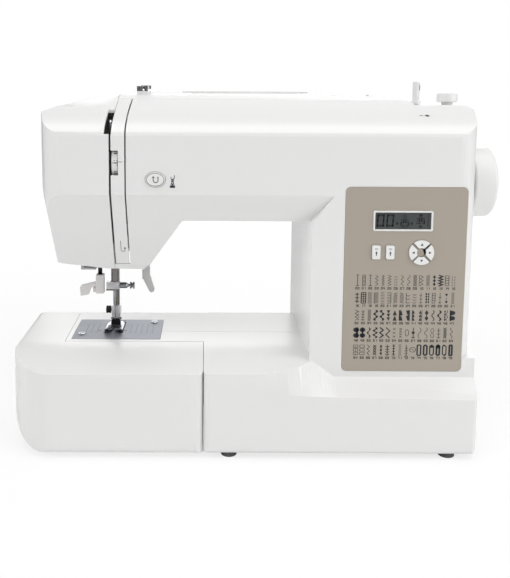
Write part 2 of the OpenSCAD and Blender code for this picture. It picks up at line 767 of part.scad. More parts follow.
module needle() {
  color(steel) {
    rod_z(needle_x, 0, clamp_z - 7, clamp_z + 5.4, 1);
    rod_z(needle_x, 0, bed_h + 12, clamp_z - 7, 0.6);
    translate([needle_x, 0, bed_h + 7]) cylinder(h = 5, r1 = 0.08, r2 = 0.6);
  }
}
// ---------------------------------------------------------------- presser
module presser_bar() {
  color(steel) {
    rod_z(needle_x, presser_back, ankle_z + 10, arm_z + 70, presser_bar_r);
    rod_z(needle_x, presser_back, collar_z, collar_z + collar_h, presser_bar_r + 2.4);
    rod_z(needle_x, presser_back, lifter_z + 6.3, lifter_z + 10.3, presser_bar_r + 2.4);
    box(needle_x + 3, lifter_x + 3, presser_back - 2, lifter_y + 3, lifter_z + 6.3, lifter_z + 10.3);
  }
}
module presser_spring() {
  color(steel) difference() {
    rod_z(needle_x, presser_back, collar_z + collar_h + 0.3, bush_heights[1] - 1, presser_bar_r + 1.6);
    rod_z(needle_x, presser_back, collar_z, bush_heights[1] + 1, presser_bar_r + 0.5);
  }
}
module presser_ankle() {
  color(steel) difference() {
    union() {
      box(needle_x - 4, needle_x + 4, 5.4, presser_back + 4, ankle_z, ankle_z + 10);
      box(needle_x - 2.2, needle_x + 2.2, 5.4, presser_back + 1, ankle_z - 5, ankle_z);
    }
    rod_x(needle_x - 10, needle_x + 1, presser_back, ankle_z + 5, 1.5);
    rod_x(needle_x - 10, needle_x + 10, foot_pin_y, ankle_z - 2.6, 1.1);
  }
}
module ankle_screw() {
  color([0.2, 0.2, 0.2]) {
    rod_x(needle_x - 5, needle_x + 1, presser_back, ankle_z + 5, 1.5);
    rod_x(needle_x - 9.5, needle_x - 5, presser_back, ankle_z + 5, 3.6);
  }
}
module presser_foot() {
  sole = bed_h + 0.6;
  color([0.8, 0.8, 0.82]) {
    difference() {
      union() {
        xy(sole, sole + 1.4) difference() {
          hull() {
            translate([needle_x - 8, -16]) square([16, 26]);
            translate([needle_x - 5, 12]) square([10, 2]);
          }
          translate([needle_x - 1.6, -17]) square([3.2, 14]);
          hull() for (dx = [-3, 3]) translate([needle_x + dx, 0]) circle(1.4);
        }
        for (s = [-1, 1]) translate([needle_x + s * 3.3 - 0.8, 5.4, sole + 1.4]) cube([1.6, 6, 5.8]);
      }
    }
    rod_x(needle_x - 3.3, needle_x + 3.3, foot_pin_y, ankle_z - 2.6, 1);
  }
}
module lifter_lever() {
  color(white) {
    rod_x(lifter_x - 3.5, lifter_x + 3.5, lifter_y, lifter_z, 6);
    yz(lifter_x - 3.5, lifter_x + 3.5) hull() {
      translate([lifter_y, lifter_z]) circle(4.5);
      translate([lifter_y, lifter_knee]) circle(3);
    }
    hull() {
      rod_y(lifter_x, lifter_y - 3, lifter_y + 3, lifter_knee, 3.5);
      rod_y(lifter_x + 5.2, lifter_y - 2.2, lifter_y + 2.2, lifter_tip, 2.6);
    }
    rod_x(needle_x + 12.5, lifter_x - 3.5, lifter_y, lifter_z, lifter_pin_r);
  }
}
module needle_threader() {
  color(white) {
    box(needle_x - 16.4, needle_x - 9.4, -7, 1, clamp_z - 2, clamp_z + 15);
    rod_z(rod_cx, rod_cy, clamp_z + 15, head_z + 26, rod_r);
    xz(-6, -2) polygon([for (p = wing_outline) [needle_x + p[0], clamp_z + p[1]]]);
    box(needle_x - 19.4, needle_x - 16.4, -4, -1, clamp_z - 1.5, clamp_z + 3);
  }
}

// ---------------------------------------------------------------- thread path
module take_up_lever() {
  color(steel) {
    yz(lever_x - 0.7, lever_x + 0.7) difference() {
      hull() {
        translate([lever_y, lever_z]) circle(5.6);
        translate([eye_y, eye_z]) circle(3.4);
      }
      translate([eye_y, eye_z]) circle(1.5);
    }
    rod_x(lever_x + 0.7, needle_x + 19, lever_y, lever_z, lever_pin_r);
  }
}
module thread_guides() {
  color([0.45, 0.45, 0.47]) {
    rod_z(needle_x + 27, guide_y, ridge_z, ridge_z + 2, 1.6);
    rod_z(needle_x + 27, guide_y, ridge_z + 2, ridge_z + 5.2, 4.6);
    difference() {
      box(cover_x0 + 0.4, cover_x0 + 5.6, guide_y - 8, guide_y + 6, ridge_z, ridge_z + 4.6);
      box(cover_x0 + 1.5, cover_x0 + 7, guide_y - 6.8, guide_y + 7, ridge_z + 1.1, ridge_z + 6);
    }
  }
}
module tension_dial() {
  color([0.95, 0.95, 0.94]) difference() {
    union() {
      rod_x(strip_x0 + 0.5, strip_x0 + 5.3, dial_y, dial_z, dial_r);
      rod_x(strip_x0 + 5.3, strip_x0 + 6.2, dial_y, dial_z, 4);
    }
    rod_x(strip_x0, strip_x0 + 20, dial_y, dial_z, 2);
  }
}

// ---------------------------------------------------------------- drive
module handwheel() {
  color(white) translate([right_x + wheel_gap, 0, shaft_z]) rotate([0, 90, 0]) difference() {
    rotate_extrude($fn = 96) polygon(concat([[0, 4], [wheel_r - 5, 4], [wheel_r - 5, 0]],
      [for (a = [-90:30:0]) [wheel_r + rim_r * (cos(a) - 1), rim_r * (1 + sin(a))]],
      [for (a = [15:15:75]) [wheel_r + crown_r * (cos(a) - 1), wheel_face - 1 + crown_r * (sin(a) - 1)]],
      [[wheel_r - 12, wheel_face], [0, wheel_face]]));
    translate([0, 0, -1]) cylinder(h = wheel_face - 2.5, r = shaft_r);
  }
}
module arm_shaft() {
  color(steel) rod_x(needle_x + 20, right_x + wheel_face - 3.2, 0, shaft_z, shaft_r);
}
module bushes() {
  color([0.7, 0.58, 0.3]) {
    for (x = arm_lugs) bush(x, 0, shaft_z);
    for (x = lower_lugs) bush(x, lower_y, lower_z);
    for (z = bush_heights) {
      bar_bush(0, z, needle_bar_r);
      bar_bush(presser_back, z, presser_bar_r);
    }
  }
}
module bar_bush(y, z, r) {
  difference() {
    rod_z(needle_x, y, z - 1, z + lug_w + 1, r + bush_t);
    rod_z(needle_x, y, z - 2, z + lug_w + 2, r + run_gap);
  }
}
module bush(x, y, z) {
  difference() {
    rod_x(x - 1, x + lug_w + 1, y, z, shaft_r + bush_t);
    rod_x(x - 2, x + lug_w + 2, y, z, shaft_r + run_gap);
  }
}
module crank_disc() {
  color(steel) difference() {
    union() {
      rod_x(needle_x + 20, needle_x + 28, 0, shaft_z, 14);
      rod_x(needle_x + 12, needle_x + 20, 0, shaft_z + 10, 3);
    }
    rod_x(needle_x + 19, needle_x + 30, 0, shaft_z, shaft_r);
  }
}
module toothed_pulley(r, w, teeth) {
  difference() {
    union() {
      cylinder(h = w, r = r - 1);
      for (i = [0:teeth - 1]) rotate(360 / teeth * i) translate([r - 1.4, -0.9, 0]) cube([1.4, 1.8, w]);
      for (z = [-1, w]) translate([0, 0, z]) cylinder(h = 1, r = r + 1.6);
    }
    translate([0, 0, -2]) cylinder(h = w + 4, r = shaft_r);
  }
}
module arm_pulley() {
  color([0.25, 0.25, 0.26]) {
    translate([belt_x, 0, shaft_z]) rotate([0, 90, 0]) toothed_pulley(pulley_r, belt_w, 20);
    translate([drive_x, 0, shaft_z]) rotate([0, 90, 0]) toothed_pulley(drive_r, belt_w, 48);
  }
}
module lower_shaft() {
  color(steel) {
    rod_x(needle_x + 14, belt_x + belt_w + 8, lower_y, lower_z, shaft_r);
    translate([belt_x, lower_y, lower_z]) rotate([0, 90, 0]) toothed_pulley(pulley_r, belt_w, 20);
    rod_x(needle_x + 22, needle_x + 30, lower_y, lower_z, 12);
  }
}
module belt_loop(x, w, y0, z0, r0, y1, z1, r1, t) {
  yz(x, x + w) difference() {
    hull() {
      translate([y0, z0]) circle(r0 + t);
      translate([y1, z1]) circle(r1 + t);
    }
    hull() {
      translate([y0, z0]) circle(r0);
      translate([y1, z1]) circle(r1);
    }
  }
}
module motor_belt() {
  color(dark) belt_loop(drive_x + 0.3, belt_w - 0.6, 0, shaft_z, drive_r + fit, motor_y, motor_z,
    motor_pulley_r + fit, 1.2);
}
module timing_belt() {
  color(dark) belt_loop(belt_x + 0.3, belt_w - 0.6, 0, shaft_z, pulley_r + fit, lower_y, lower_z,
    pulley_r + fit, 1.2);
}
module motor() {
  color([0.35, 0.35, 0.37]) difference() {
    union() {
      rod_x(motor_x0, motor_x1 - 4, motor_y, motor_z, motor_r);
      rod_x(motor_x1 - 4, motor_x1, motor_y, motor_z, 8);
    }
    rod_x(motor_x0 - 1, drive_x, motor_y, motor_z, rotor_shaft_r + run_gap);
    rod_x(rotor_x0 - 0.5, rotor_x1 + 0.5, motor_y, motor_z, rotor_r + 0.5);
  }
}
module motor_pulley() {
  color([0.25, 0.25, 0.26]) {
    rod_x(rotor_x0, drive_x + belt_w + 4, motor_y, motor_z, rotor_shaft_r);
    rod_x(rotor_x0, rotor_x1, motor_y, motor_z, rotor_r);
    rod_x(drive_x, drive_x + belt_w, motor_y, motor_z, motor_pulley_r);
    for (x = [drive_x - 1, drive_x + belt_w]) rod_x(x, x + 1, motor_y, motor_z, motor_pulley_r + 1.6);
  }
}

// ---------------------------------------------------------------- hook
module hook_race() {
  color(steel) difference() {
    union() {
      rod_y(needle_x, hook_front, hook_back + 5, hook_z, hook_r + 4);
      box(needle_x - 8, needle_x + 8, hook_back + 3, frame_y, hook_z - hook_r, hook_z - 8);
    }
    rod_y(needle_x, hook_front - 1, hook_back + 3.4, hook_z, hook_r + 0.35);
    rod_y(needle_x, -10, hook_back + 10, hook_z, hook_shaft_r + run_gap);
    box(needle_x - 13, needle_x + 13, hook_front - 2, hook_back + 10, hook_z + 13, hook_z + hook_r + 9);
  }
}
module shuttle_hook() {
  color([0.8, 0.8, 0.82]) {
    difference() {
      rod_y(needle_x, hook_front + 3, cup_back + 1.5, hook_z, hook_r);
      rod_y(needle_x, hook_front, cup_back, hook_z, hook_r - 3);
      box(needle_x - 6, needle_x + 10, hook_front, cup_back, hook_z + 8, hook_z + hook_r + 5);
      box(needle_x + 4, needle_x + hook_r + 5, hook_front, -9, hook_z, hook_z + hook_r + 5);
    }
    rod_y(needle_x, cup_back + 1.5, hook_back + 3, hook_z, hook_shaft_r + 3);
    rod_y(needle_x, hook_back + 3, lower_y - 7, hook_z, hook_shaft_r);
  }
}
module bobbin_case() {
  color(steel) difference() {
    rod_y(needle_x, hook_front + 2, -4, hook_z, case_r);
    rod_y(needle_x, hook_front + 1, -6, hook_z, case_bore_r);
  }
  color(steel) rod_y(needle_x, hook_front + 5, -5, hook_z, bobbin_pin_r);
}
module bobbin() {
  color([0.85, 0.85, 0.86]) difference() {
    union() {
      rod_y(needle_x, hook_front + 6, hook_front + 7, hook_z, bobbin_r);
      rod_y(needle_x, hook_front + 7, -7.4, hook_z, 4);
      rod_y(needle_x, -7.4, -6.4, hook_z, bobbin_r);
    }
    rod_y(needle_x, hook_front, 0, hook_z, bobbin_pin_r + run_gap);
  }
}

// ---------------------------------------------------------------- control panel
module pad_sector(a, g) {
  intersection() {
    difference() {
      circle(pad_r - g);
      circle(3.4 + g);
    }
    rotate(a) polygon([[pad_web + g, 0], [pad_web + g + 20, 20], [40, 0], [pad_web + g + 20, -20]]);
  }
}
module key_outline(x, g) {
  slab(x - key_w / 2 + g, x + key_w / 2 - g, key_z - key_h / 2 + g, key_z + key_h / 2 - g, 1);
}
module panel_holes() {
  slab(bezel_x - bezel_w / 2, bezel_x + bezel_w / 2, bezel_z - bezel_h / 2, bezel_z + bezel_h / 2, 1.5);
  key_outline(key_x1, 0);
  key_outline(key_x2, 0);
  translate([pad_x, key_z]) difference() {
    circle(pad_r);
    circle(3.2);
    for (a = [45, 135]) rotate(a) square([40, 1], center = true);
  }
}
module panel_pocket() {
  xz(-face_front - 5, -face_front + panel_t - panel_proud)
    slab(panel_x - panel_w / 2 - 0.2, panel_x + panel_w / 2 + 0.2, panel_z - panel_h / 2 - 0.2,
      panel_z + panel_h / 2 + 0.2, 4.2);
  xz(-face_front - 5, -face_front + wall + 2) panel_holes();
}
module control_panel() {
  color([0.67, 0.63, 0.58]) xz(panel_front, panel_front + panel_t) difference() {
    slab(panel_x - panel_w / 2, panel_x + panel_w / 2, panel_z - panel_h / 2, panel_z + panel_h / 2, 4);
    panel_holes();
  }
}
module display_bezel() {
  color(white) {
    xz(panel_front - 0.6, panel_front + 4) difference() {
      slab(bezel_x - bezel_w / 2 + 0.1, bezel_x + bezel_w / 2 - 0.1, bezel_z - bezel_h / 2 + 0.1,
        bezel_z + bezel_h / 2 - 0.1, 1.4);
      slab(bezel_x - bezel_w / 2 + 1.6, bezel_x + bezel_w / 2 - 1.6, bezel_z - bezel_h / 2 + 1.5,
        bezel_z + bezel_h / 2 - 1.5, 0.6);
    }
  }
}
module display() {
  color([0.1, 0.11, 0.12]) xz(panel_front + 0.8, panel_front + 4) slab(bezel_x - bezel_w / 2 + 1.7,
    bezel_x + bezel_w / 2 - 1.7, bezel_z - bezel_h / 2 + 1.6, bezel_z + bezel_h / 2 - 1.6, 0.5);
}
module circuit_board() {
  color([0.1, 0.4, 0.2]) box(panel_x - 42, panel_x + 34, board_y, board_y + 1.6, panel_z - 10, panel_z + 64);
}
module select_key(x) {
  color(white) xz(panel_front - key_proud, board_y - key_travel - 0.3) key_outline(x, key_gap);
}
module select_key_left() { select_key(key_x1); }
module select_key_right() { select_key(key_x2); }
module arrow_key(a) {
  color(white) xz(panel_front - key_proud, board_y - key_travel - 0.3)
    translate([pad_x, key_z]) pad_sector(a, key_gap);
}
module arrow_key_up() { arrow_key(90); }
module arrow_key_down() { arrow_key(270); }
module arrow_key_left() { arrow_key(180); }
module arrow_key_right() { arrow_key(0); }
module reverse_outline(g) {
  translate([reverse_x, reverse_z]) polygon([for (a = [0:7.5:359])
    [(reverse_w / 2 + g) * cos(a), (reverse_h / 2 + g) * sin(a)]]);
}
module reverse_hole() {
  xz(-face_front - 5, -face_front + wall + 5) reverse_outline(0.4);
}
module reverse_button() {
  color(white) {
    xz(-face_front - 1.4, -face_front + wall + 0.3) reverse_outline(0);
    xz(-face_front + wall + 0.3, -face_front + wall + 2) reverse_outline(2);
  }
}

// ---------------------------------------------------------------- right side and top
module socket_hole() {
  box(right_x - wall - 5, right_x + 5, socket_y - 13, socket_y + 13, socket_z - 9, socket_z + 9);
  box(right_x - wall - 5, right_x + 5, socket_y - 8, socket_y + 8, socket_z + 15, socket_z + 37);
  rod_y(right_x - wall / 2, socket_y - 9.4, socket_y + 9.4, rocker_z, rocker_pin_r + run_gap);
}
module wheel_hole() {
  rod_x(right_x - wall - 5, right_x + 5, 0, shaft_z, shaft_r + 4);
}
module power_socket() {
  color(dark) difference() {
    box(right_x - 14, right_x - 0.3, socket_y - 12.7, socket_y + 12.7, socket_z - 8.7, socket_z + 8.7);
    box(right_x - 10, right_x + 5, socket_y - 8, socket_y + 8, socket_z - 5, socket_z + 5);
  }
}
module power_switch() {
  color(dark) {
    xz(socket_y - 7.4, socket_y + 7.4) translate([right_x - wall / 2, rocker_z]) rotate(rocker_rest)
      polygon([[-6, -4], [-1, -8.6], [2.6, -8.6], [1.4, 0], [2.6, 8.6], [-1, 8.6], [-6, 4]]);
    rod_y(right_x - wall / 2, socket_y - 9.2, socket_y + 9.2, rocker_z, rocker_pin_r);
  }
}
module winder_hole() {
  hull() for (dx = [0, 6]) rod_z(winder_x + dx, winder_y, platform_z - 12, platform_z + 5, 3.2);
}
module winder_arm() {
  color(steel) difference() {
    box(winder_x - 14, winder_x + 8, winder_y - 8, winder_y + 4,
      platform_z - wall - 4.3, platform_z - wall - 0.3);
    rod_z(winder_x, winder_y, platform_z - 20, platform_z, 2.6 + run_gap);
  }
}
module winder_spindle() {
  color(steel) {
    rod_z(winder_x, winder_y, platform_z - 14, platform_z + 0.6, 2.6);
    rod_z(winder_x, winder_y, platform_z + 0.6, platform_z + 3, 4.4);
    difference() {
      rod_z(winder_x, winder_y, platform_z + 3, platform_z + 20, 2.9);
      box(winder_x + 0.6, winder_x + 3, winder_y - 0.5, winder_y + 0.5, platform_z + 7, platform_z + 16);
    }
  }
}
module winder_stop() {
  color(white) {
    rod_z(stop_x, winder_y, platform_z, platform_z + 2.4, 4.5);
    rod_z(stop_x, winder_y, platform_z + 2.4, platform_z + 10.4, 8.9);
  }
}
module spool_socket() {
  rod_x(spool_x1 - 1, spool_x1 + wall + 1, spool_y, spool_z, 2.5);
}
module spool_pin() {
  color(white) {
    rod_x(spool_x0 + 8, spool_x1 + wall - 0.2, spool_y, spool_z, spool_pin_r);
    rod_x(spool_step, spool_x1, spool_y, spool_z, spool_pin_r + 0.5);
  }
}
module spool_cap() {
  color(white) difference() {
    union() {
      rod_x(spool_x0 + 40, spool_x0 + 43, spool_y, spool_z, 12);
      rod_x(spool_x0 + 43, spool_x0 + 56, spool_y, spool_z, 8);
    }
    rod_x(spool_x0, spool_x1, spool_y, spool_z, spool_pin_r + 0.5 + run_gap);
  }
}
module handle_pivots(g) {
  rod_x(handle_x0 - wall - 1, handle_x1 + wall + 1, handle_pivot_y, handle_pivot_z, 2 + g);
}
module carry_handle() {
  color(white) {
    for (x = [handle_x0 + 0.6, handle_x1 - 8.6]) box(x, x + 8, handle_y0 + 2, handle_y1 - 2,
      ridge_z - handle_d + 2, ridge_z - handle_d + 10);
    box(handle_x0 + 8.6, handle_x1 - 8.6, handle_y0 + 0.8, handle_y0 + 14,
      ridge_z - handle_d + 1, ridge_z - 0.6);
    rod_x(handle_x0 - wall + 0.3, handle_x0 + 0.6, handle_pivot_y, handle_pivot_z, 2);
    rod_x(handle_x1 - 0.6, handle_x1 + wall - 0.3, handle_pivot_y, handle_pivot_z, 2);
  }
}

// ---------------------------------------------------------------- the sub-parts
placed() face_cover();
placed() channel_strip();
placed() front_cover();
placed() rear_cover();
placed() base_plate();
placed() extension_table();
placed() bobbin_door();
placed() rubber_feet();
placed() screws();
placed() frame_casting();
placed() needle_plate();
placed() feed_dogs();
placed() feed_bar();
placed() needle_bar();
placed() needle_clamp();
placed() clamp_screw();
placed() needle();
placed() presser_bar();
placed() presser_spring();
placed() presser_ankle();
placed() ankle_screw();
placed() presser_foot();
placed() lifter_lever();
placed() needle_threader();
placed() take_up_lever();
placed() thread_guides();
placed() tension_dial();
placed() handwheel();
placed() arm_shaft();
placed() bushes();
placed() crank_disc();
placed() arm_pulley();
placed() motor();
placed() motor_pulley();
placed() motor_belt();
placed() timing_belt();
placed() lower_shaft();
placed() hook_race();
placed() shuttle_hook();
placed() bobbin_case();
placed() bobbin();
placed() control_panel();
placed() display_bezel();
placed() display();
placed() circuit_board();
placed() select_key_left();
placed() select_key_right();
placed() arrow_key_up();
placed() arrow_key_down();
placed() arrow_key_left();
placed() arrow_key_right();
placed() reverse_button();
placed() power_socket();
placed() power_switch();
placed() winder_arm();
placed() winder_spindle();
placed() winder_stop();
placed() spool_pin();
placed() spool_cap();
placed() carry_handle();
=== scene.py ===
import math
import bmesh
import bpy
from mathutils import Matrix, Vector
from mathutils.bvhtree import BVHTree


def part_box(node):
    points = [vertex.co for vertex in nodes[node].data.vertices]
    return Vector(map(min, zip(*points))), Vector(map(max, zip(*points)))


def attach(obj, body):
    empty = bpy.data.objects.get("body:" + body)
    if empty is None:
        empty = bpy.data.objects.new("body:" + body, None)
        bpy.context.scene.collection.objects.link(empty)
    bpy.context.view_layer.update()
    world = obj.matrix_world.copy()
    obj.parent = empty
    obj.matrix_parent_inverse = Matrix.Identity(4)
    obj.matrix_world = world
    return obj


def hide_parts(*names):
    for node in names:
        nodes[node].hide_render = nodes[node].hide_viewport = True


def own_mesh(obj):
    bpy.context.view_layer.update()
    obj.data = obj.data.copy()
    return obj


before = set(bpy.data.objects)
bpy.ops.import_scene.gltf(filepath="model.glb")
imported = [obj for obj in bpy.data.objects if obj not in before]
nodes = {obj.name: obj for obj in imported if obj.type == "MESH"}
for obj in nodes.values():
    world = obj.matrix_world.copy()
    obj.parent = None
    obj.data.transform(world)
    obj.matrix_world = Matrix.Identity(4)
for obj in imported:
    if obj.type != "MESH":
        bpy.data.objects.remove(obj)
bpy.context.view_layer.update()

# Camera
# Stands in front of the needle side, a little above the arm, and looks down a few degrees.
camera_data = bpy.data.cameras.new("camera")
camera = bpy.data.objects.new("camera", camera_data)
bpy.context.scene.collection.objects.link(camera)
camera.location = (-0.04455, -0.6625, 0.298)
camera.rotation_euler = (Matrix.Rotation(math.radians(83.5), 3, "X")
                         @ Matrix.Rotation(math.radians(0.3), 3, "Z")).to_euler()
camera_data.lens = 46.7
camera_data.sensor_width = 36
camera_data.shift_x = 0.083
camera_data.shift_y = -0.2007
camera_data.clip_start = 0.01
bpy.context.scene.camera = camera

# Floor and studio
# A white table top that fades into the same white behind it. Two large soft lamps hang over the
# machine and its front, one stands at each side, and two stand behind: the low one gives the bed
# and the needle plate their sheen.
bpy.context.scene.view_settings.view_transform = "Standard"
floor_mesh = bpy.data.meshes.new("floor")
floor_mesh.from_pydata([(-3, -3, 0), (3, -3, 0), (3, 3, 0), (-3, 3, 0)], [], [(0, 1, 2, 3)])
floor = bpy.data.objects.new("floor", floor_mesh)
bpy.context.scene.collection.objects.link(floor)
floor_finish = bpy.data.materials.new("studio_floor")
floor_finish.use_nodes = True
tree = floor_finish.node_tree
paper = tree.nodes["Principled BSDF"]
paper.inputs["Base Color"].default_value = (0.9, 0.9, 0.9, 1)
paper.inputs["Roughness"].default_value = 0.8
seen = tree.nodes.new("ShaderNodeLightPath")
glow = tree.nodes.new("ShaderNodeEmission")
glow.inputs["Color"].default_value = (1, 1, 1, 1)
glow.inputs["Strength"].default_value = 1.03
spot = tree.nodes.new("ShaderNodeTexCoord")
reach = tree.nodes.new("ShaderNodeVectorMath")
reach.operation = "LENGTH"
fade = tree.nodes.new("ShaderNodeMapRange")
fade.inputs["From Min"].default_value = 0.35
fade.inputs["From Max"].default_value = 1.0
fade.inputs["To Min"].default_value = 0.74
share = tree.nodes.new("ShaderNodeMath")
share.operation = "MULTIPLY"
mix = tree.nodes.new("ShaderNodeMixShader")
tree.links.new(spot.outputs["Object"], reach.inputs[0])
tree.links.new(reach.outputs["Value"], fade.inputs["Value"])
tree.links.new(fade.outputs[0], share.inputs[1])
tree.links.new(seen.outputs["Is Camera Ray"], share.inputs[0])
tree.links.new(share.outputs[0], mix.inputs[0])
tree.links.new(paper.outputs[0], mix.inputs[1])
tree.links.new(glow.outputs[0], mix.inputs[2])
tree.links.new(mix.outputs[0], tree.nodes["Material Output"].inputs["Surface"])
floor.data.materials.append(floor_finish)

world = bpy.data.worlds.new("studio")
bpy.context.scene.world = world
world.use_nodes = True
tree = world.node_tree
room = tree.nodes["Background"]
room.inputs["Color"].default_value = (1, 1, 1, 1)
room.inputs["Strength"].default_value = 0.22
backdrop = tree.nodes.new("ShaderNodeBackground")
backdrop.inputs["Color"].default_value = (1, 1, 1, 1)
backdrop.inputs["Strength"].default_value = 1
path = tree.nodes.new("ShaderNodeLightPath")
blend = tree.nodes.new("ShaderNodeMixShader")
tree.links.new(path.outputs["Is Camera Ray"], blend.inputs[0])
tree.links.new(room.outputs[0], blend.inputs[1])
tree.links.new(backdrop.outputs[0], blend.inputs[2])
tree.links.new(blend.outputs[0], tree.nodes["World Output"].inputs["Surface"])


def softbox(name, place, aim, width, height, power):
    lamp = bpy.data.lights.new(name, "AREA")
    lamp.shape = "RECTANGLE"
    lamp.size = width
    lamp.size_y = height
    lamp.energy = power
    lamp_object = bpy.data.objects.new(name, lamp)
    bpy.context.scene.collection.objects.link(lamp_object)
    lamp_object.location = place
    lamp_object.rotation_euler = (Vector(aim) - Vector(place)).to_track_quat("-Z", "Y").to_euler()


softbox("overhead", (0, -0.15, 1.6), (0, 0, 0.15), 1.8, 1.4, 13)
softbox("high_front", (0, -0.75, 1.5), (0, 0, 0.15), 1.8, 1.2, 3)
softbox("left", (-1.5, -0.8, 0.8), (0, 0, 0.15), 1.2, 1.2, 10.5)
softbox("right", (1.5, -0.8, 0.7), (0, 0, 0.15), 1.0, 1.0, 13)
softbox("behind_high", (0.2, 1.6, 1.15), (0, 0, 0.2), 1.6, 0.9, 2.1)
softbox("behind_low", (0.2, 1.6, 0.6), (0, 0, 0.2), 1.6, 0.5, 5.9)

# Moulded covers
# The shell is injection-moulded ABS with a polished skin: a front and a rear half, a cover for the
# head's end, a strip between the thread slots, a slide-off table and a small hook door. Clips and
# the screws at the back hold them together.


def surface(name, colour, roughness, metallic=0.0, tone=0.02, spread=0.03, patch=9.0, pitch=1400.0,
            grain=0.0004, strength=0.12, stretch=(1, 1, 1)):
    """Plastic, metal or rubber skin: slow patches of tone and gloss, and a fine relief.
    stretch squeezes the pattern into brush or turning marks."""
    finish = bpy.data.materials.new(name)
    finish.use_nodes = True
    t = finish.node_tree
    skin = t.nodes["Principled BSDF"]
    skin.inputs["Metallic"].default_value = metallic
    place = t.nodes.new("ShaderNodeTexCoord")
    squeeze = t.nodes.new("ShaderNodeMapping")
    squeeze.inputs["Scale"].default_value = stretch
    t.links.new(place.outputs["Object"], squeeze.inputs["Vector"])
    patches = t.nodes.new("ShaderNodeTexNoise")
    patches.inputs["Scale"].default_value = patch
    patches.inputs["Detail"].default_value = 3
    t.links.new(squeeze.outputs[0], patches.inputs["Vector"])
    gloss = t.nodes.new("ShaderNodeMapRange")
    gloss.inputs["To Min"].default_value = max(roughness - spread, 0.02)
    gloss.inputs["To Max"].default_value = roughness + spread
    t.links.new(patches.outputs["Fac"], gloss.inputs["Value"])
    t.links.new(gloss.outputs[0], skin.inputs["Roughness"])
    shade = t.nodes.new("ShaderNodeMix")
    shade.data_type = "RGBA"
    factor, light_colour, dark_colour = shade.inputs[0], shade.inputs[6], shade.inputs[7]
    light_colour.default_value = (*colour, 1)
    dark_colour.default_value = (*[c * (1 - tone) for c in colour], 1)
    t.links.new(patches.outputs["Fac"], factor)
    t.links.new(shade.outputs[2], skin.inputs["Base Color"])
    relief = t.nodes.new("ShaderNodeTexNoise")
    relief.inputs["Scale"].default_value = pitch
    relief.inputs["Detail"].default_value = 2
    t.links.new(squeeze.outputs[0], relief.inputs["Vector"])
    bump = t.nodes.new("ShaderNodeBump")
    bump.inputs["Strength"].default_value = strength
    bump.inputs["Distance"].default_value = grain
    t.links.new(relief.outputs["Fac"], bump.inputs["Height"])
    t.links.new(bump.outputs[0], skin.inputs["Normal"])
    return finish


def wear(finish, *names):
    """Gives CAD nodes their finish."""
    for name in names:
        nodes[name].data.materials.clear()
        nodes[name].data.materials.append(finish)


def soften(width, *names, angle=24, segments=3):
    """Rounds the moulded or broken edges of CAD nodes."""
    for name in names:
        piece = nodes[name]
        join = piece.modifiers.new("joined_faces", "WELD")
        join.merge_threshold = 0.000005
        flat = piece.modifiers.new("flat_faces", "DECIMATE")
        flat.decimate_type = "DISSOLVE"
        flat.angle_limit = math.radians(0.2)
        edge = piece.modifiers.new("soft_edges", "BEVEL")
        edge.width = width
        edge.segments = segments
        edge.limit_method = "ANGLE"
        edge.angle_limit = math.radians(angle)
        edge.miter_outer = "MITER_ARC"
        shade = piece.modifiers.new("even_shading", "WEIGHTED_NORMAL")
        shade.keep_sharp = True
        for face in piece.data.polygons:
            face.use_smooth = True


shell_names = ("face_cover", "channel_strip", "front_cover", "rear_cover", "extension_table",
               "bobbin_door")
wear(surface("gloss_white_abs", (0.84, 0.84, 0.835), 0.24), *shell_names)
soften(0.0012, *shell_names)

# Control panel
# A taupe printed polycarbonate film on a thin plate, glued into a shallow pocket of the front
# cover, with cut-outs for the display and the keys.
wear(surface("taupe_film", (0.415, 0.368, 0.31), 0.46, tone=0.03, pitch=2600, grain=0.0002,
             strength=0.2), "control_panel")
soften(0.0003, "control_panel")

# Stitch chart
# Eighty numbered sample stitches in five rows, silk-screened on the panel in dark grey ink. Each
# stroke of ink is a closed slab a few hundredths of a millimetre thick.
ink = surface("chart_ink", (0.022, 0.026, 0.032), 0.5, tone=0.2, patch=300, pitch=3000)
panel_low, panel_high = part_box("control_panel")


def stroke(points, width, closed=False):
    """The two edges of a line through the points. The width is one number or one for each point."""
    count = len(points)
    widths = [width] * count if isinstance(width, (int, float)) else width
    left, right = [], []
    for i, (x, y) in enumerate(points):
        before = points[i - 1] if i or closed else None
        after = points[(i + 1) % count] if i < count - 1 or closed else None
        ways = []
        for a, b in ((before, (x, y)), ((x, y), after)):
            if a is not None and b is not None:
                run = math.hypot(b[0] - a[0], b[1] - a[1]) or 1
                ways.append(((b[0] - a[0]) / run, (b[1] - a[1]) / run))
        nx, ny = -sum(w[1] for w in ways), sum(w[0] for w in ways)
        size = math.hypot(nx, ny) or 1
        nx, ny = nx / size, ny / size
        mitre = max(-nx * ways[0][1] + ny * ways[0][0], 0.45)
        half = widths[i] / 2 / mitre
        left.append((x + nx * half, y + ny * half))
        right.append((x - nx * half, y - ny * half))
    return left, right, closed


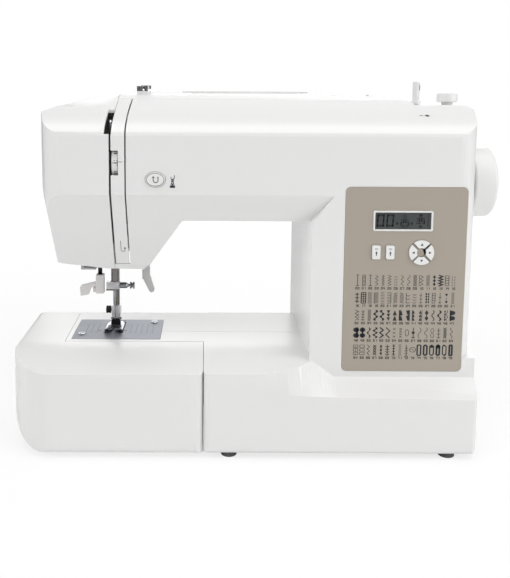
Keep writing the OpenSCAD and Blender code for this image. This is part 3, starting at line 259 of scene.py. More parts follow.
def slabs(name, body, finish, strokes, place, proud=0.03, sunk=0.05):
    """Makes strokes, in millimetres, into one piece. place(u, v, h) is where a point lies."""
    form = bmesh.new()
    for left, right, closed in strokes:
        rows = [[form.verts.new(place(u, v, h)) for u, v in side]
                for side, h in ((left, proud), (right, proud), (right, -sunk), (left, -sunk))]
        count = len(left)
        for i in range(count if closed else count - 1):
            j = (i + 1) % count
            for a in range(4):
                b = (a + 1) % 4
                form.faces.new((rows[a][i], rows[a][j], rows[b][j], rows[b][i]))
        if not closed:
            form.faces.new([rows[a][0] for a in (3, 2, 1, 0)])
            form.faces.new([rows[a][-1] for a in range(4)])
    bmesh.ops.recalc_face_normals(form, faces=form.faces)
    mesh = bpy.data.meshes.new(name)
    form.to_mesh(mesh)
    form.free()
    mesh.materials.append(finish)
    piece = bpy.data.objects.new(name, mesh)
    bpy.context.scene.collection.objects.link(piece)
    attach(piece, body)
    return piece


def moved(strokes, dx, dy, wide=1.0, tall=1.0):
    return [([(x * wide + dx, y * tall + dy) for x, y in left],
             [(x * wide + dx, y * tall + dy) for x, y in right], closed)
            for left, right, closed in strokes]


# The seven bars of a figure on a grid one unit wide and two high, and the bars each figure needs
SEGMENTS = {"a": ((0, 2), (1, 2)), "b": ((1, 2), (1, 1)), "c": ((1, 1), (1, 0)),
            "d": ((1, 0), (0, 0)), "e": ((0, 0), (0, 1)), "f": ((0, 1), (0, 2)),
            "g": ((0, 1), (1, 1))}
FIGURES = ("abcdef", "bc", "abged", "abgcd", "fgbc", "afgcd", "afgedc", "abc", "abcdefg", "abcdfg")


def number(text, height, width, line, gap):
    """Strokes of a number about its centre, in straight bars."""
    bars = []
    step = width + gap
    start = -(step * len(text) - gap) / 2
    grow = line / 2
    for order, digit in enumerate(text):
        for key in FIGURES[int(digit)]:
            (ax, ay), (bx, by) = SEGMENTS[key]
            level = bx != ax
            ax, bx = [start + order * step + v * width for v in (ax, bx)]
            ay, by = [(v / 2 - 0.5) * height for v in (ay, by)]
            if level:
                sign = 1 if bx > ax else -1
                bars.append(stroke([(ax - sign * grow, ay), (bx + sign * grow, by)], line))
            else:
                sign = 1 if by > ay else -1
                bars.append(stroke([(ax, ay - sign * grow), (bx, by + sign * grow)], line))
    return bars


# Half the height of a sample stitch, in millimetres
TALL = 4.2


def levels(count, margin=0.0):
    return [TALL - margin - (2 * TALL - 2 * margin) * i / (count - 1) for i in range(count)]


def post(width=0.35, x=0.0):
    return [stroke([(x, -TALL), (x, TALL)], width)]


def ends(width=0.4):
    return [stroke([(-1, y), (1, y)], width) for y in (-TALL, TALL)]


def dashes(count=5, width=0.45, x=0.0):
    step = 2 * TALL / count
    return [stroke([(x, -TALL + step * i), (x, -TALL + step * (i + 0.6))], width)
            for i in range(count)]


def rungs(count=9, x0=-1.3, x1=1.3, width=0.35, lean=0.0):
    return [stroke([(x0, y - lean), (x1, y + lean)], width) for y in levels(count, abs(lean))]


def zigzag(count=8, reach=1.3, width=0.35):
    return [stroke([(reach if i % 2 else -reach, y) for i, y in enumerate(levels(count))], width)]


def wave(turns=2, reach=1.0, width=0.5, x=0.0):
    steps = 24
    return [stroke([(x + reach * math.sin(turns * math.tau * i / steps), y)
                    for i, y in enumerate(levels(steps + 1))], width)]


def fat_wave(turns=2, reach=1.0, low=0.35, high=1.5):
    steps = 32
    swings = [math.sin(turns * math.tau * i / steps) for i in range(steps + 1)]
    return [stroke([(reach * swing, y) for swing, y in zip(swings, levels(steps + 1))],
                   [low + (high - low) * abs(swing) for swing in swings])]


def gems(count=4, width=2.0, x=0.0):
    step = 2 * TALL / count
    return [stroke([(x, -TALL + step * (i + share)) for share in (0, 0.5, 1)], [0.15, width, 0.15])
            for i in range(count)]


def cones(count=3, width=2.4, up=True, x=0.0):
    step = 2 * TALL / count
    return [stroke([(x, -TALL + step * i), (x, -TALL + step * (i + 0.95))],
                   [width, 0.15] if up else [0.15, width]) for i in range(count)]


def cross(count=3, arm=0.9, width=0.5):
    return [stroke([(-arm, y - rise), (arm, y + rise)], width)
            for y in levels(count, 1.2) for rise in (arm, -arm)]


def plus(count=3, arm=1.2, width=0.5):
    return [bar for y in levels(count, 1.4) for bar in
            (stroke([(-arm, y), (arm, y)], width), stroke([(0, y - arm), (0, y + arm)], width))]


def sprays(count=3, reach=1.2, width=0.35, rise=1.0, stem=True):
    step = 2 * TALL / count
    twigs = [stroke([(s * reach, -TALL + step * i + rise), (0, -TALL + step * i)], width)
             for i in range(count) for s in (-1, 1)]
    return twigs + (post(width) if stem else [])


def disc(x, y, radius, squash=1.0):
    turns = [math.pi * i / 8 for i in range(9)]
    return [stroke([(x, y - radius * squash * math.cos(a)) for a in turns],
                   [max(2 * radius * math.sin(a), 0.05) for a in turns])]


def hoop(x, y, rx, ry, width, count=16):
    return [stroke([(x + rx * math.cos(math.tau * i / count), y + ry * math.sin(math.tau * i / count))
                    for i in range(count)], width, closed=True)]


def frame_of(half_w, half_h, width, cut=0.5, y=0.0):
    outline = [(-half_w + cut, y - half_h), (half_w - cut, y - half_h), (half_w, y - half_h + cut),
               (half_w, y + half_h - cut), (half_w - cut, y + half_h), (-half_w + cut, y + half_h),
               (-half_w, y + half_h - cut), (-half_w, y - half_h + cut)]
    return [stroke(outline, width, closed=True)]


def boxes(count=3, half=1.2, width=0.35):
    return [bar for y in levels(count, 1.3) for bar in frame_of(half, 1.0, width, 0.1, y)]


chart = (
    (post(0.4) + ends(), rungs(9, -0.9, 0.9) + post(0.3, -0.9) + post(0.3, 0.9),
     dashes(5, 0.7) + ends(), zigzag(7, 0.9), zigzag(11, 0.7), zigzag(9, 1.0),
     dashes(4, 0.35, -0.6) + dashes(4, 0.35, 0.6), zigzag(6, 0.8), wave(2, 0.8, 0.35),
     rungs(15, -1.1, 1.1, 0.3), zigzag(7, 1.0) + post(0.3, -1.4), rungs(11, -1.1, 1.1, 0.3, 0.3),
     gems(3, 1.9), zigzag(9, 1.2, 1.0), boxes(4, 1.1),
     dashes(4, 0.35, 0.8) + dashes(4, 0.35, -0.8)),
    (plus(3, 1.3, 0.6) + post(0.5),
     rungs(6, -1.4, 1.4, 0.6) + post(0.6, -1.4) + post(0.6, 1.4) + post(0.4),
     rungs(12, -1.3, 1.3, 0.3), rungs(12, -1.3, 1.3, 0.3, 0.2) + post(0.3, -1.3),
     rungs(8, -1.2, 1.2, 0.3), rungs(8, -1.2, 1.2, 0.3) + post(0.35, 1.2),
     rungs(9, -1.2, 1.2, 0.35, 0.5), rungs(9, -1.2, 1.2, 0.35, -0.5),
     post(0.35, -1.2) + sprays(3, 1.2, 0.35, 1.0, False), sprays(4, 1.2, 0.35, 0.9, False),
     sprays(3, 0.8, 0.3), gems(4, 1.3, -0.6) + gems(4, 1.0, 0.8), boxes(4, 0.9),
     sprays(2, 0.8, 0.35), disc(0, 2.8, 0.8) + disc(0, -2.8, 0.8) + dashes(3, 0.3),
     rungs(14, -0.9, 0.9, 0.25)),
    (zigzag(7, 0.9, 0.4) + dashes(4, 0.3, 1.3), sprays(4, 1.0, 0.35), rungs(15, -1.0, 1.0, 0.3),
     fat_wave(2, 0.7, 0.5, 1.6), fat_wave(2, -0.7, 0.5, 1.6), cones(3, 2.3, False),
     cones(2, 2.6), cones(2, 2.0) + post(1.1, -0.9), cones(2, 2.0, False) + post(1.1, 0.9),
     cones(3, 1.9, True, -0.4) + post(0.4, -1.0), cones(3, 1.8) + post(0.35, 1.0), gems(2, 2.4),
     wave(1.5, 0.7, 0.6), fat_wave(1.5, 0.8, 0.5, 1.2), gems(4, 1.2, -0.5) + wave(2, 0.5, 0.35, 0.7),
     disc(0.3, 2.1, 1.7) + disc(0.3, -2.1, 1.7) + post(1.1, -0.9)),
    (disc(0, 2.2, 1.9) + disc(0, -2.2, 1.9) + post(1.2, 0.6),
     disc(0, 2.2, 1.8) + disc(0, -2.2, 1.8) + post(1.0), fat_wave(1.5, 0.7, 0.3, 1.0),
     fat_wave(2.5, 0.9, 0.5, 1.3), zigzag(5, 1.1, 0.9), zigzag(4, 1.2, 0.7), cross(3, 0.8, 0.3),
     cross(4, 0.7, 0.35), hoop(0, 0, 1.1, 2.6, 0.35), sprays(2, 1.0, 0.5) + disc(0, 0, 0.9),
     wave(1, 0.9, 0.35), wave(1.5, 0.9, 0.35), hoop(0, 2, 1.0, 1.6, 0.3) + hoop(0, -2, 1.0, 1.6, 0.3),
     sprays(3, 1.1, 0.35), zigzag(9, 0.9, 0.35) + zigzag(9, -0.9, 0.35), wave(2, -0.7, 0.35)),
    (boxes(3, 1.4, 0.35) + dashes(4, 0.3), boxes(3, 1.4, 0.35), zigzag(6, 0.8, 0.4),
     cross(4, 0.9, 0.6), gems(3, 1.6) + post(0.3), sprays(4, 1.3, 0.5), gems(4, 1.5) + ends(0.3),
     rungs(11, -0.8, 0.8, 0.3), sprays(4, 0.9, 0.4, -0.9),
     hoop(0, 0.3, 1.9, 1.9, 0.4, 20) + [stroke([(-0.9, 1.0), (0.9, -0.5)], 0.4)],
     frame_of(1.1, 4.1, 0.9), frame_of(1.0, 4.1, 1.1, 0.9),
     frame_of(1.2, 4.1, 0.8, 1.1) + disc(0, 3.0, 1.2), frame_of(0.9, 4.1, 1.2, 0.8) + disc(0, 2.8, 1.4),
     frame_of(1.1, 4.1, 0.7, 1.1), frame_of(0.8, 4.1, 1.2, 0.3)),
)
chart_left = 11.3
chart_pitch = 5.2
row_depths = (76.5, 91.1, 105.7, 120.4, 135.0)
number_drop = 6.6
printed = []
for row, (depth, samples) in enumerate(zip(row_depths, chart)):
    for column, sample in enumerate(samples):
        centre = chart_left + chart_pitch * column
        label = f"{row * len(samples) + column:02d}"
        printed += moved(sample, centre, -depth, 1.3, 1.06)
        printed += moved(number(label, 1.6, 1.0, 0.44, 0.8), centre, -depth - number_drop)


def on_panel(u, v, h):
    """Millimetres to the right of and up from the panel's top left corner."""
    return panel_low.x + u / 1000, panel_low.y - h / 1000, panel_high.z + v / 1000


slabs("stitch_chart", "machine", ink, printed, on_panel)

# Display
# A smoked liquid-crystal glass in a white moulded bezel that snaps into the panel's window. The
# large figures and two groups of small ones are dark segments behind the glass.
small_white = surface("small_white_abs", (0.86, 0.86, 0.845), 0.34, pitch=2200, grain=0.0002)
glass = surface("smoked_glass", (0.050, 0.058, 0.060), 0.16, tone=0.25, patch=60, pitch=900, strength=0.03)
glass.node_tree.nodes["Principled BSDF"].inputs["Coat Weight"].default_value = 0.4
segment_black = surface("segment_black", (0.006, 0.008, 0.010), 0.3, tone=0.3, patch=200)
wear(small_white, "display_bezel")
wear(glass, "display")
soften(0.0005, "display_bezel")
glass_low, glass_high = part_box("display")
glass_middle = (glass_low + glass_high) / 2


def on_glass(u, v, h):
    """Millimetres from the middle of the glass."""
    return glass_middle.x + u / 1000, glass_low.y - h / 1000, glass_middle.z + v / 1000


def slanted(strokes):
    lean = 0.05
    return [([(x + y * lean, y) for x, y in left], [(x + y * lean, y) for x, y in right], closed)
            for left, right, closed in strokes]


large_figures = moved(slanted(number("00", 8.6, 4.7, 1.25, 3.0)), -14.2, 0.2)
stops = disc(-4.6, -2.2, 1.1) + disc(7.2, -2.2, 1.1)
length_group = (moved(number("25", 4.2, 2.3, 0.85, 1.5), 1.5, -1.4)
                + moved(zigzag(5, 0.9, 0.8), 1.5, 3.3, 1.9, 0.34)
                + [stroke([(-1.8, -5.0), (4.6, -5.0)], 0.7)])
width_group = (moved(number("35", 3.8, 2.3, 0.85, 1.5), 14.2, 0)
               + moved(gems(1, 2.6), 14.2, 4.4, 1.4, 0.32) + moved(gems(1, 2.6), 14.2, -4.6, 1.4, 0.32)
               + [stroke([(20.2, -5), (20.2, 5)], 0.5)])
slabs("display_figures", "machine", segment_black,
      large_figures + stops + length_group + width_group, on_glass)

# Keys
# Six white moulded keys on a rubber mat. Each carries a small printed mark: an upright arrow on
# the two select keys, and an arrow head on each of the four arrow keys.
key_ink = surface("key_ink", (0.06, 0.065, 0.075), 0.5, tone=0.2, patch=300)
key_names = ("select_key_left", "select_key_right", "arrow_key_up", "arrow_key_down", "arrow_key_left",
             "arrow_key_right")
wear(small_white, *key_names)
soften(0.0006, *key_names)
upright_arrow = [stroke([(0, -2.6), (0, -0.4)], 0.8), stroke([(0, -0.6), (0, 1.0)], [2.2, 0.1]),
                 stroke([(-1.3, 3.2), (1.3, 3.2)], 0.3), stroke([(-1.3, 2.3), (1.3, 2.3)], 0.3)]
heads = {"up": ((0, -0.9), (0, 1.1)), "down": ((0, 0.9), (0, -1.1)), "left": ((0.9, 0), (-1.1, 0)),
         "right": ((-0.9, 0), (1.1, 0))}


def on_key(node):
    low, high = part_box(node)

    def place(u, v, h):
        return (low.x + high.x) / 2 + u / 1000, low.y - h / 1000, (low.z + high.z) / 2 + v / 1000
    return place


for side in ("left", "right"):
    slabs(f"select_mark_{side}", f"key_select_{side}", key_ink, upright_arrow,
          on_key(f"select_key_{side}"))
for side, ends_of in heads.items():
    slabs(f"arrow_mark_{side}", f"key_{side}", key_ink, [stroke(ends_of, [2.3, 0.1])],
          on_key(f"arrow_key_{side}"))

# Reverse button
# An oval white button in the front of the arm, held down to sew backwards. A fine ring is moulded
# round its face, and its dark line is painted shade, drawn in ink. A returning arrow is printed in
# the middle and a foot mark beside it.
wear(small_white, "reverse_button")
soften(0.0008, "reverse_button")
grey_ink = surface("grey_ink", (0.16, 0.165, 0.17), 0.5, tone=0.2, patch=300)
turn_back = [stroke([(-1.6, 2.0), (-1.6, -0.6), (-1.2, -1.7), (-0.3, -2.3), (0.9, -2.3),
                     (1.9, -1.7), (2.3, -0.6), (2.3, 1.9), (1.5, 1.9)], 0.75),
             stroke([(-1.6, 1.4), (-1.6, 3.0)], [2.6, 0.1])]
slabs("reverse_arrow", "reverse", grey_ink, turn_back, on_key("reverse_button"))
# The ring is a dark ink slab: painted shade of the moulded ring.
slabs("reverse_ring_painted_shade", "reverse", key_ink, hoop(0, 0, 7.0, 5.1, 0.4, 40),
      on_key("reverse_button"))


def skin(node, start, right, up, look):
    """Lays millimetre strokes on a node's outside: from start, right and up, seen along look."""
    mesh = nodes[node].data
    faces = BVHTree.FromPolygons([v.co for v in mesh.vertices], [p.vertices for p in mesh.polygons])
    start, right, up, look = Vector(start), Vector(right), Vector(up), Vector(look)
    step_back = look * 0.3

    def place(u, v, h):
        eye = start + right * u / 1000 + up * v / 1000 - step_back
        return faces.ray_cast(eye, look)[0] - look * h / 1000
    return place


front_view = ((1, 0, 0), (0, 0, 1), (0, 1, 0))
foot_mark = [stroke([(-2.1, -4.6), (2.1, -4.6)], 2.0), stroke([(0, -3.6), (0, -2.0)], 1.2),
             stroke([(-1.3, -3.2), (-0.4, -0.6)], 0.6), stroke([(1.3, -3.2), (0.4, -0.6)], 0.6),
             stroke([(0, -1.0), (0, 0.8)], 0.8), stroke([(0, 0.6), (1.5, 2.4), (1.5, 4.6)], 0.6),
             stroke([(0, 0.6), (-1.2, 2.0), (-1.2, 3.4)], 0.5)] + hoop(0, 0.4, 1.0, 1.2, 0.5)
slabs("reverse_mark", "machine", ink, foot_mark,
      skin("front_cover", (-0.0722, 0, 0.2235), *front_view))

# Tension dial
# A white wheel behind a window in the strip between the two thread slots. Its rim is numbered,
# and a short line printed beside the window shows the setting.
wear(surface("satin_white", (0.80, 0.80, 0.78), 0.42, pitch=2400, grain=0.0002), "tension_dial")
soften(0.0004, "tension_dial")
dial_low, dial_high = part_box("tension_dial")
dial_middle = (dial_low + dial_high) / 2
dial_radius = (dial_high.z - dial_low.z) / 2 * 1000


def on_dial(u, v, h):
    angle = v / dial_radius
    reach = (dial_radius + h) / 1000
    return (dial_middle.x + u / 1000, dial_middle.y - reach * math.cos(angle),
            dial_middle.z + reach * math.sin(angle))


dial_marks = []
settings = 10
shown = 4
for setting in range(settings):
    along = (setting - shown) * math.tau * dial_radius / settings
    dial_marks += moved(number(str(setting), 3.4, 2.0, 0.85, 0.5), 0.4, along)
    dial_marks += [stroke([(-2.2, along), (-1.5, along)], 0.5)]
slabs("dial_numbers", "tension", key_ink, dial_marks, on_dial)
slabs("dial_pointer", "machine", grey_ink, [stroke([(0, 0), (3.4, 0)], 0.45)],
      skin("channel_strip", (-0.1157, 0, 0.2386), *front_view))

# Threading arrow
# A hook-shaped arrow printed low on the strip. It shows the thread going down one slot and back
# up the other.
hook_arrow = [stroke([(-1.6, 6.0), (-1.6, -2.6), (-0.9, -4.1), (0.5, -4.4), (1.6, -3.4), (1.6, -1.4)], 0.5),
              stroke([(1.6, -1.8), (1.6, 0.2)], [1.9, 0.1])]
slabs("threading_arrow", "machine", grey_ink, hook_arrow,
      skin("channel_strip", (-0.1150, 0, 0.1645), *front_view))

# Take-up lever and thread guides
# A lever pressed from polished steel swings in the left slot and pulls each stitch tight. The
# guides on top are bent from plated sheet.
polished = surface("polished_steel", (0.62, 0.63, 0.65), 0.16, 1.0, tone=0.12, patch=120,
                   pitch=2600)
turned = surface("turned_steel", (0.40, 0.41, 0.43), 0.30, 1.0, tone=0.15, spread=0.06, patch=160,
                 pitch=2200, stretch=(1, 1, 0.08))
wear(polished, "take_up_lever")
wear(surface("plated_guide", (0.34, 0.345, 0.36), 0.32, 1.0, tone=0.3, patch=220), "thread_guides")
soften(0.0003, "take_up_lever", "thread_guides", segments=2)

# Needle plate
# Ground steel, screwed flush into the bed over the hook. Fine seam lines are engraved in it, with
# short darker marks level with the needle.
wear(surface("ground_plate", (0.365, 0.385, 0.425), 0.46, 0.75, tone=0.10, spread=0.07, patch=50,
             pitch=2400, grain=0.0003, strength=0.18, stretch=(0.05, 1, 1)), "needle_plate")
plate_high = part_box("needle_plate")[1]
screw_head = 0.9
needle_low, needle_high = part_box("needle")
needle_x = (needle_low.x + needle_high.x) / 2
needle_y = (needle_low.y + needle_high.y) / 2


def on_plate(u, v, h):
    """Millimetres to the right of and behind the needle, on top of the plate."""
    return needle_x + u / 1000, needle_y + v / 1000, plate_high.z + h / 1000


engraved = surface("engraved_line", (0.12, 0.125, 0.14), 0.5, 0.5, tone=0.2, patch=200)
seam_lines = [stroke([(x, -16), (x, 9)], 0.28) for x in (-25, -20, -15, 15, 20, 25, 30, 35)]
slabs("seam_lines", "machine", engraved, seam_lines, on_plate, proud=0.015)
plate_marks = [stroke([(x - 1.5, -8.5), (x + 1.5, -8.5)], 1.3) for x in (-13.2, 10.2)]
plate_marks += [stroke([(4.8, 19.5), (8.4, 19.5)], 1.2)]
slabs("plate_marks", "machine", ink, plate_marks, on_plate, proud=0.02)
screw_places = ((35.05, 15.0), (-27.65, -19.0))
# Dark ink slabs across the two screw heads: painted shade of their slots.
slabs("plate_screw_slot_shade", "machine", ink,
      [stroke([(x - 1.3, y - 2.2), (x + 1.3, y + 2.2)], 1.2) for x, y in screw_places],
      lambda u, v, h: on_plate(u, v, screw_head + h), sunk=0.6)

# Feed dogs
# Three toothed bars of hardened steel, tied together at both ends, that reach up into the plate's
# slots and move the cloth. The teeth are milled, each with a steep face towards the back.


def block(form, outline, axis, low, high):
    """Adds a prism: the outline, in millimetres, runs from low to high along the axis."""
    def spot(a, b, along):
        x, y, z = {"x": (along, a, b), "y": (a, along, b), "z": (a, b, along)}[axis]
        return form.verts.new((x / 1000, y / 1000, z / 1000))
    first = [spot(a, b, low) for a, b in outline]
    last = [spot(a, b, high) for a, b in outline]
    form.faces.new(first)
    form.faces.new(last[::-1])
    for i in range(len(outline)):
        j = (i + 1) % len(outline)
        form.faces.new((first[i], last[i], last[j], first[j]))


def turn(form, profile, centre, axis, steps=32, flutes=0, depth=0.0):
    """Adds a turned form: (distance along the axis, radius) pairs, from one end to the other."""
    rows = []
    for along, radius in profile:
        row = []
        for i in range(steps):
            angle = math.tau * i / steps
            reach = radius - (depth if flutes and i * flutes // steps % 2 else 0)
            a, b = reach * math.cos(angle), reach * math.sin(angle)
            x, y, z = {"x": (along, a, b), "y": (b, along, a), "z": (a, b, along)}[axis]
            row.append(form.verts.new(((centre[0] + x) / 1000, (centre[1] + y) / 1000,
                                       (centre[2] + z) / 1000)))
        rows.append(row)
    for lower, upper in zip(rows, rows[1:]):
        for i in range(steps):
            j = (i + 1) % steps
            form.faces.new((lower[i], lower[j], upper[j], upper[i]))
    form.faces.new(rows[0][::-1])
    form.faces.new(rows[-1])


def made(name, form, body, finish, edge=0.0):
    """Makes a form into a piece. Its sharp edges are broken by the width of edge, in millimetres."""
    bmesh.ops.recalc_face_normals(form, faces=form.faces)
    mesh = bpy.data.meshes.new(name)
    form.to_mesh(mesh)
    form.free()
    mesh.materials.append(finish)
    for face in mesh.polygons:
        face.use_smooth = True
    piece = bpy.data.objects.new(name, mesh)
    bpy.context.scene.collection.objects.link(piece)
    if edge:
        bevel = piece.modifiers.new("broken_edges", "BEVEL")
        bevel.width = edge / 1000
        bevel.segments = 2
        bevel.limit_method = "ANGLE"
        bevel.angle_limit = math.radians(30)
    shade = piece.modifiers.new("even_shading", "WEIGHTED_NORMAL")
    shade.keep_sharp = True
    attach(piece, body)
    return piece


nx, ny = needle_x * 1000, needle_y * 1000
dog_low, dog_high = [corner * 1000 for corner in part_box("feed_dogs")]
dogs = bmesh.new()
tooth_pitch = 1.6
gullet = dog_high.z - 0.7
bars = ((-8.0, -5.0, -13.0, 13.0), (5.0, 8.0, -13.0, 13.0), (-3.5, 3.5, 5.0, 13.0))
for left, right, front, back in bars:
    saw = [(ny + front, dog_low.z)]
    for i in range(int((back - front) / tooth_pitch)):
        tooth = ny + front + tooth_pitch * i
        saw += [(tooth, gullet), (tooth + 1.5, gullet), (tooth + 1.5, dog_high.z),
                (tooth + 1.55, gullet)]
    saw += [(ny + back, gullet), (ny + back, dog_low.z)]
    block(dogs, saw, "x", nx + left, nx + right)
tie_height = 2.4
ties = ((-5.0, 5.0, -12.9, -9.0), (-5.0, -3.5, 9.0, 12.9), (3.5, 5.0, 9.0, 12.9))
for left, right, front, back in ties:
    block(dogs, [(nx + left, ny + front), (nx + right, ny + front), (nx + right, ny + back),
                 (nx + left, ny + back)], "z", dog_low.z, dog_low.z + tie_height)
feed_teeth = made("feed_teeth", dogs, "feed", turned)
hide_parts("feed_dogs")
wear(turned, "feed_bar")

# Needle bar, clamp and needle
# A ground steel bar runs in two bronze bushes. A cast clamp with a turned thumb screw grips the
# needle's flat shank; the needle itself is nickel plated.
bar_steel = surface("ground_bar", (0.27, 0.255, 0.25), 0.28, 1.0, tone=0.25, spread=0.08, patch=90,
                    pitch=2400, stretch=(1, 1, 0.06))
wear(bar_steel, "needle_bar")
wear(surface("clamp_metal", (0.66, 0.65, 0.66), 0.3, 1.0, tone=0.35, patch=260), "needle_clamp")
wear(turned, "clamp_screw", "needle")
soften(0.0004, "needle_clamp", segments=2)
clamp_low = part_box("needle_clamp")[0] * 1000
hook_wire = bmesh.new()
block(hook_wire, [(nx - 7.6, clamp_low.z + 0.2), (nx + 4.8, clamp_low.z + 0.2),
                  (nx + 4.8, clamp_low.z + 1.1), (nx - 7.6, clamp_low.z + 1.1)],
      "y", clamp_low.y - 0.7, clamp_low.y + 0.4)
made("clamp_thread_guide", hook_wire, "needle_unit", bar_steel, 0.2)

# Presser bar, ankle and foot
# The bar and ankle are plated steel. The foot is stamped and milled: two upturned toes, a slot for
# the needle's swing, and two ears on a cross pin. A banded dark thumb screw holds the ankle.
warm_steel = surface("presser_bar_steel", (0.25, 0.235, 0.21), 0.30, 1.0, tone=0.4, spread=0.08,
                     patch=130, pitch=2000, stretch=(1, 1, 0.1))
wear(warm_steel, "presser_bar")
# The ankle is a light grey with little metal in it: painted reflection, standing in for the bright shine of
# its plating.
wear(surface("ankle_painted_reflection", (0.86, 0.85, 0.88), 0.28, 0.55, tone=0.2, patch=200), "presser_ankle")
soften(0.0005, "presser_ankle", segments=2)
# Blackened steel. On the two blocks over the foot's toes it is painted dark reflection.
dark_steel = surface("blackened_steel_and_toe_reflection", (0.035, 0.035, 0.038), 0.34, 0.6, tone=0.4, patch=260,
                     pitch=2200)
ankle_low, ankle_high = [corner * 1000 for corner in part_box("ankle_screw")]
ankle_y, ankle_z = (ankle_low.y + ankle_high.y) / 2, (ankle_low.z + ankle_high.z) / 2
thumb = bmesh.new()
thumb_profile = [(-9.5, 2.9), (-9.1, 3.55), (-7.9, 3.55), (-7.6, 3.1), (-7.0, 3.1), (-6.7, 3.55),
                 (-5.5, 3.55), (-5.1, 3.0), (-5.1, 1.5), (1.0, 1.5)]
turn(thumb, thumb_profile, (nx, ankle_y, ankle_z), "x", steps=48, flutes=24, depth=0.2)
thumb_screw = made("ankle_thumb_screw", thumb, "presser_unit", dark_steel)
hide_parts("ankle_screw")
foot_low, foot_high = [corner * 1000 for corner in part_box("presser_foot")]
# The foot's steel is darker than the polished steel: painted dark reflection in its chrome.
foot_steel_painted_dark_reflection = surface("foot_steel_painted_dark_reflection", (0.44, 0.45, 0.48), 0.22, 1.0, tone=0.3, spread=0.08, patch=170,
                     pitch=2400)
columns = (-8.0, -6.6, -4.4, -1.6, 1.6, 4.4, 6.6, 8.0)
rows = (-16.0, -15.2, -14.2, -13.0, -11.0, -7.0, -1.4, 1.4, 4.0, 9.0, 12.5, 14.0)
toe_lift = {-16.0: 2.6, -15.2: 1.7, -14.2: 0.9, -13.0: 0.3}
sole_thickness = 1.4


def sole_cell(i, j):
    """Tells whether a cell of the sole is steel: not the gap between the toes, nor the slot across
    it for the needle, nor the cut corners."""
    x, y = (columns[i] + columns[i + 1]) / 2, (rows[j] + rows[j + 1]) / 2
    toe_gap = abs(x) < 1.6 and y < 1.4
    needle_slot = abs(x) < 4.4 and abs(y) < 1.4
    cut_corner = (abs(x) > 4.4 and y > 12.5) or (abs(x) > 6.6 and (y < -15.2 or y > 9.0))
    return not (toe_gap or needle_slot or cut_corner)


sole = bmesh.new()
corners = {}


def corner(i, j, top):
    if (i, j, top) not in corners:
        height = foot_low.z + toe_lift.get(rows[j], 0) + (sole_thickness if top else 0)
        corners[i, j, top] = sole.verts.new(((nx + columns[i]) / 1000, (ny + rows[j]) / 1000,
                                             height / 1000))
    return corners[i, j, top]


cells = {(i, j) for i in range(len(columns) - 1) for j in range(len(rows) - 1)
         if sole_cell(i, j)}
for i, j in cells:
    sole.faces.new([corner(i + a, j + b, True) for a, b in ((0, 0), (1, 0), (1, 1), (0, 1))])
    sole.faces.new([corner(i + a, j + b, False) for a, b in ((0, 1), (1, 1), (1, 0), (0, 0))])
    for beside, (a, b), (c, d) in (((i, j - 1), (0, 0), (1, 0)), ((i + 1, j), (1, 0), (1, 1)),
                                   ((i, j + 1), (1, 1), (0, 1)), ((i - 1, j), (0, 1), (0, 0))):
        if beside not in cells:
            sole.faces.new((corner(i + a, j + b, False), corner(i + c, j + d, False),
                            corner(i + c, j + d, True), corner(i + a, j + b, True)))
for side in (-1, 1):
    inner, outer = nx + side * 2.5, nx + side * 4.1
    ear = [(ny + 5.4, foot_low.z + 1.2), (ny + 11.4, foot_low.z + 1.2),
           (ny + 11.2, foot_low.z + 5.4), (ny + 10.2, foot_high.z - 0.4), (ny + 8.4, foot_high.z),
           (ny + 6.6, foot_high.z - 0.4), (ny + 5.6, foot_low.z + 5.4)]
    block(sole, ear, "x", min(inner, outer), max(inner, outer))
cross_pin = [(-5.0, 0.6), (-4.7, 1.0), (4.7, 1.0), (5.0, 0.6)]
turn(sole, cross_pin, (nx, ny + 8.4, 84.4), "x", steps=20)
detailed_foot = made("zigzag_foot", sole, "presser_unit", foot_steel_painted_dark_reflection, 0.25)
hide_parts("presser_foot")
shank = bmesh.new()
block(shank, [(nx - 4.6, 80.0), (nx - 4.2, 83.4), (nx - 2.6, 85.4), (nx + 2.6, 85.4),
              (nx + 4.2, 83.4), (nx + 4.6, 80.0)], "y", ny + 4.72, ny + 5.36)
# The two dark blocks over the toes are painted dark reflection of the foot's chrome toes.
for side in (-1, 1):
    middle_of_toe = nx + side * 4.2
    block(shank, [(ny - 15.0, 80.9), (ny - 12.6, 79.9), (ny - 1.8, 79.9), (ny - 1.8, 81.3),
                  (ny - 9.0, 81.3), (ny - 14.0, 82.3)], "x", middle_of_toe - 1.7, middle_of_toe + 1.7)
made("foot_shank_and_toe_reflection", shank, "presser_unit", dark_steel, 0.3)

# Presser spring
# A coil of spring-steel wire round the bar, between its collar and the upper bush. It presses the
# foot down and shortens as the foot is raised.
spring_low, spring_high = [corner * 1000 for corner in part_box("presser_spring")]
wire_radius = 0.65
coil_radius = (spring_high.x - spring_low.x) / 2 - wire_radius - 0.05
spring_y = (spring_low.y + spring_high.y) / 2
turns, steps_in_turn, sides = 8, 28, 8
coil = bmesh.new()
hoops = []
for i in range(turns * steps_in_turn + 1):
    share_up = i / (turns * steps_in_turn)
    angle = math.tau * i / steps_in_turn
    height = spring_low.z + wire_radius + (spring_high.z - spring_low.z - 2 * wire_radius) * share_up
    hoops.append([])
    for k in range(sides):
        reach = coil_radius + wire_radius * math.cos(math.tau * k / sides)
        rise = wire_radius * math.sin(math.tau * k / sides)
        hoops[-1].append(coil.verts.new(((nx + reach * math.cos(angle)) / 1000,
                                         (spring_y + reach * math.sin(angle)) / 1000,
                                         (height + rise) / 1000)))
for one, other in zip(hoops, hoops[1:]):
    for k in range(sides):
        coil.faces.new((one[k], other[k], other[(k + 1) % sides], one[(k + 1) % sides]))
coil.faces.new(hoops[0])
coil.faces.new(hoops[-1][::-1])
spring = made("coil_spring", coil, "machine", turned)
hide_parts("presser_spring")
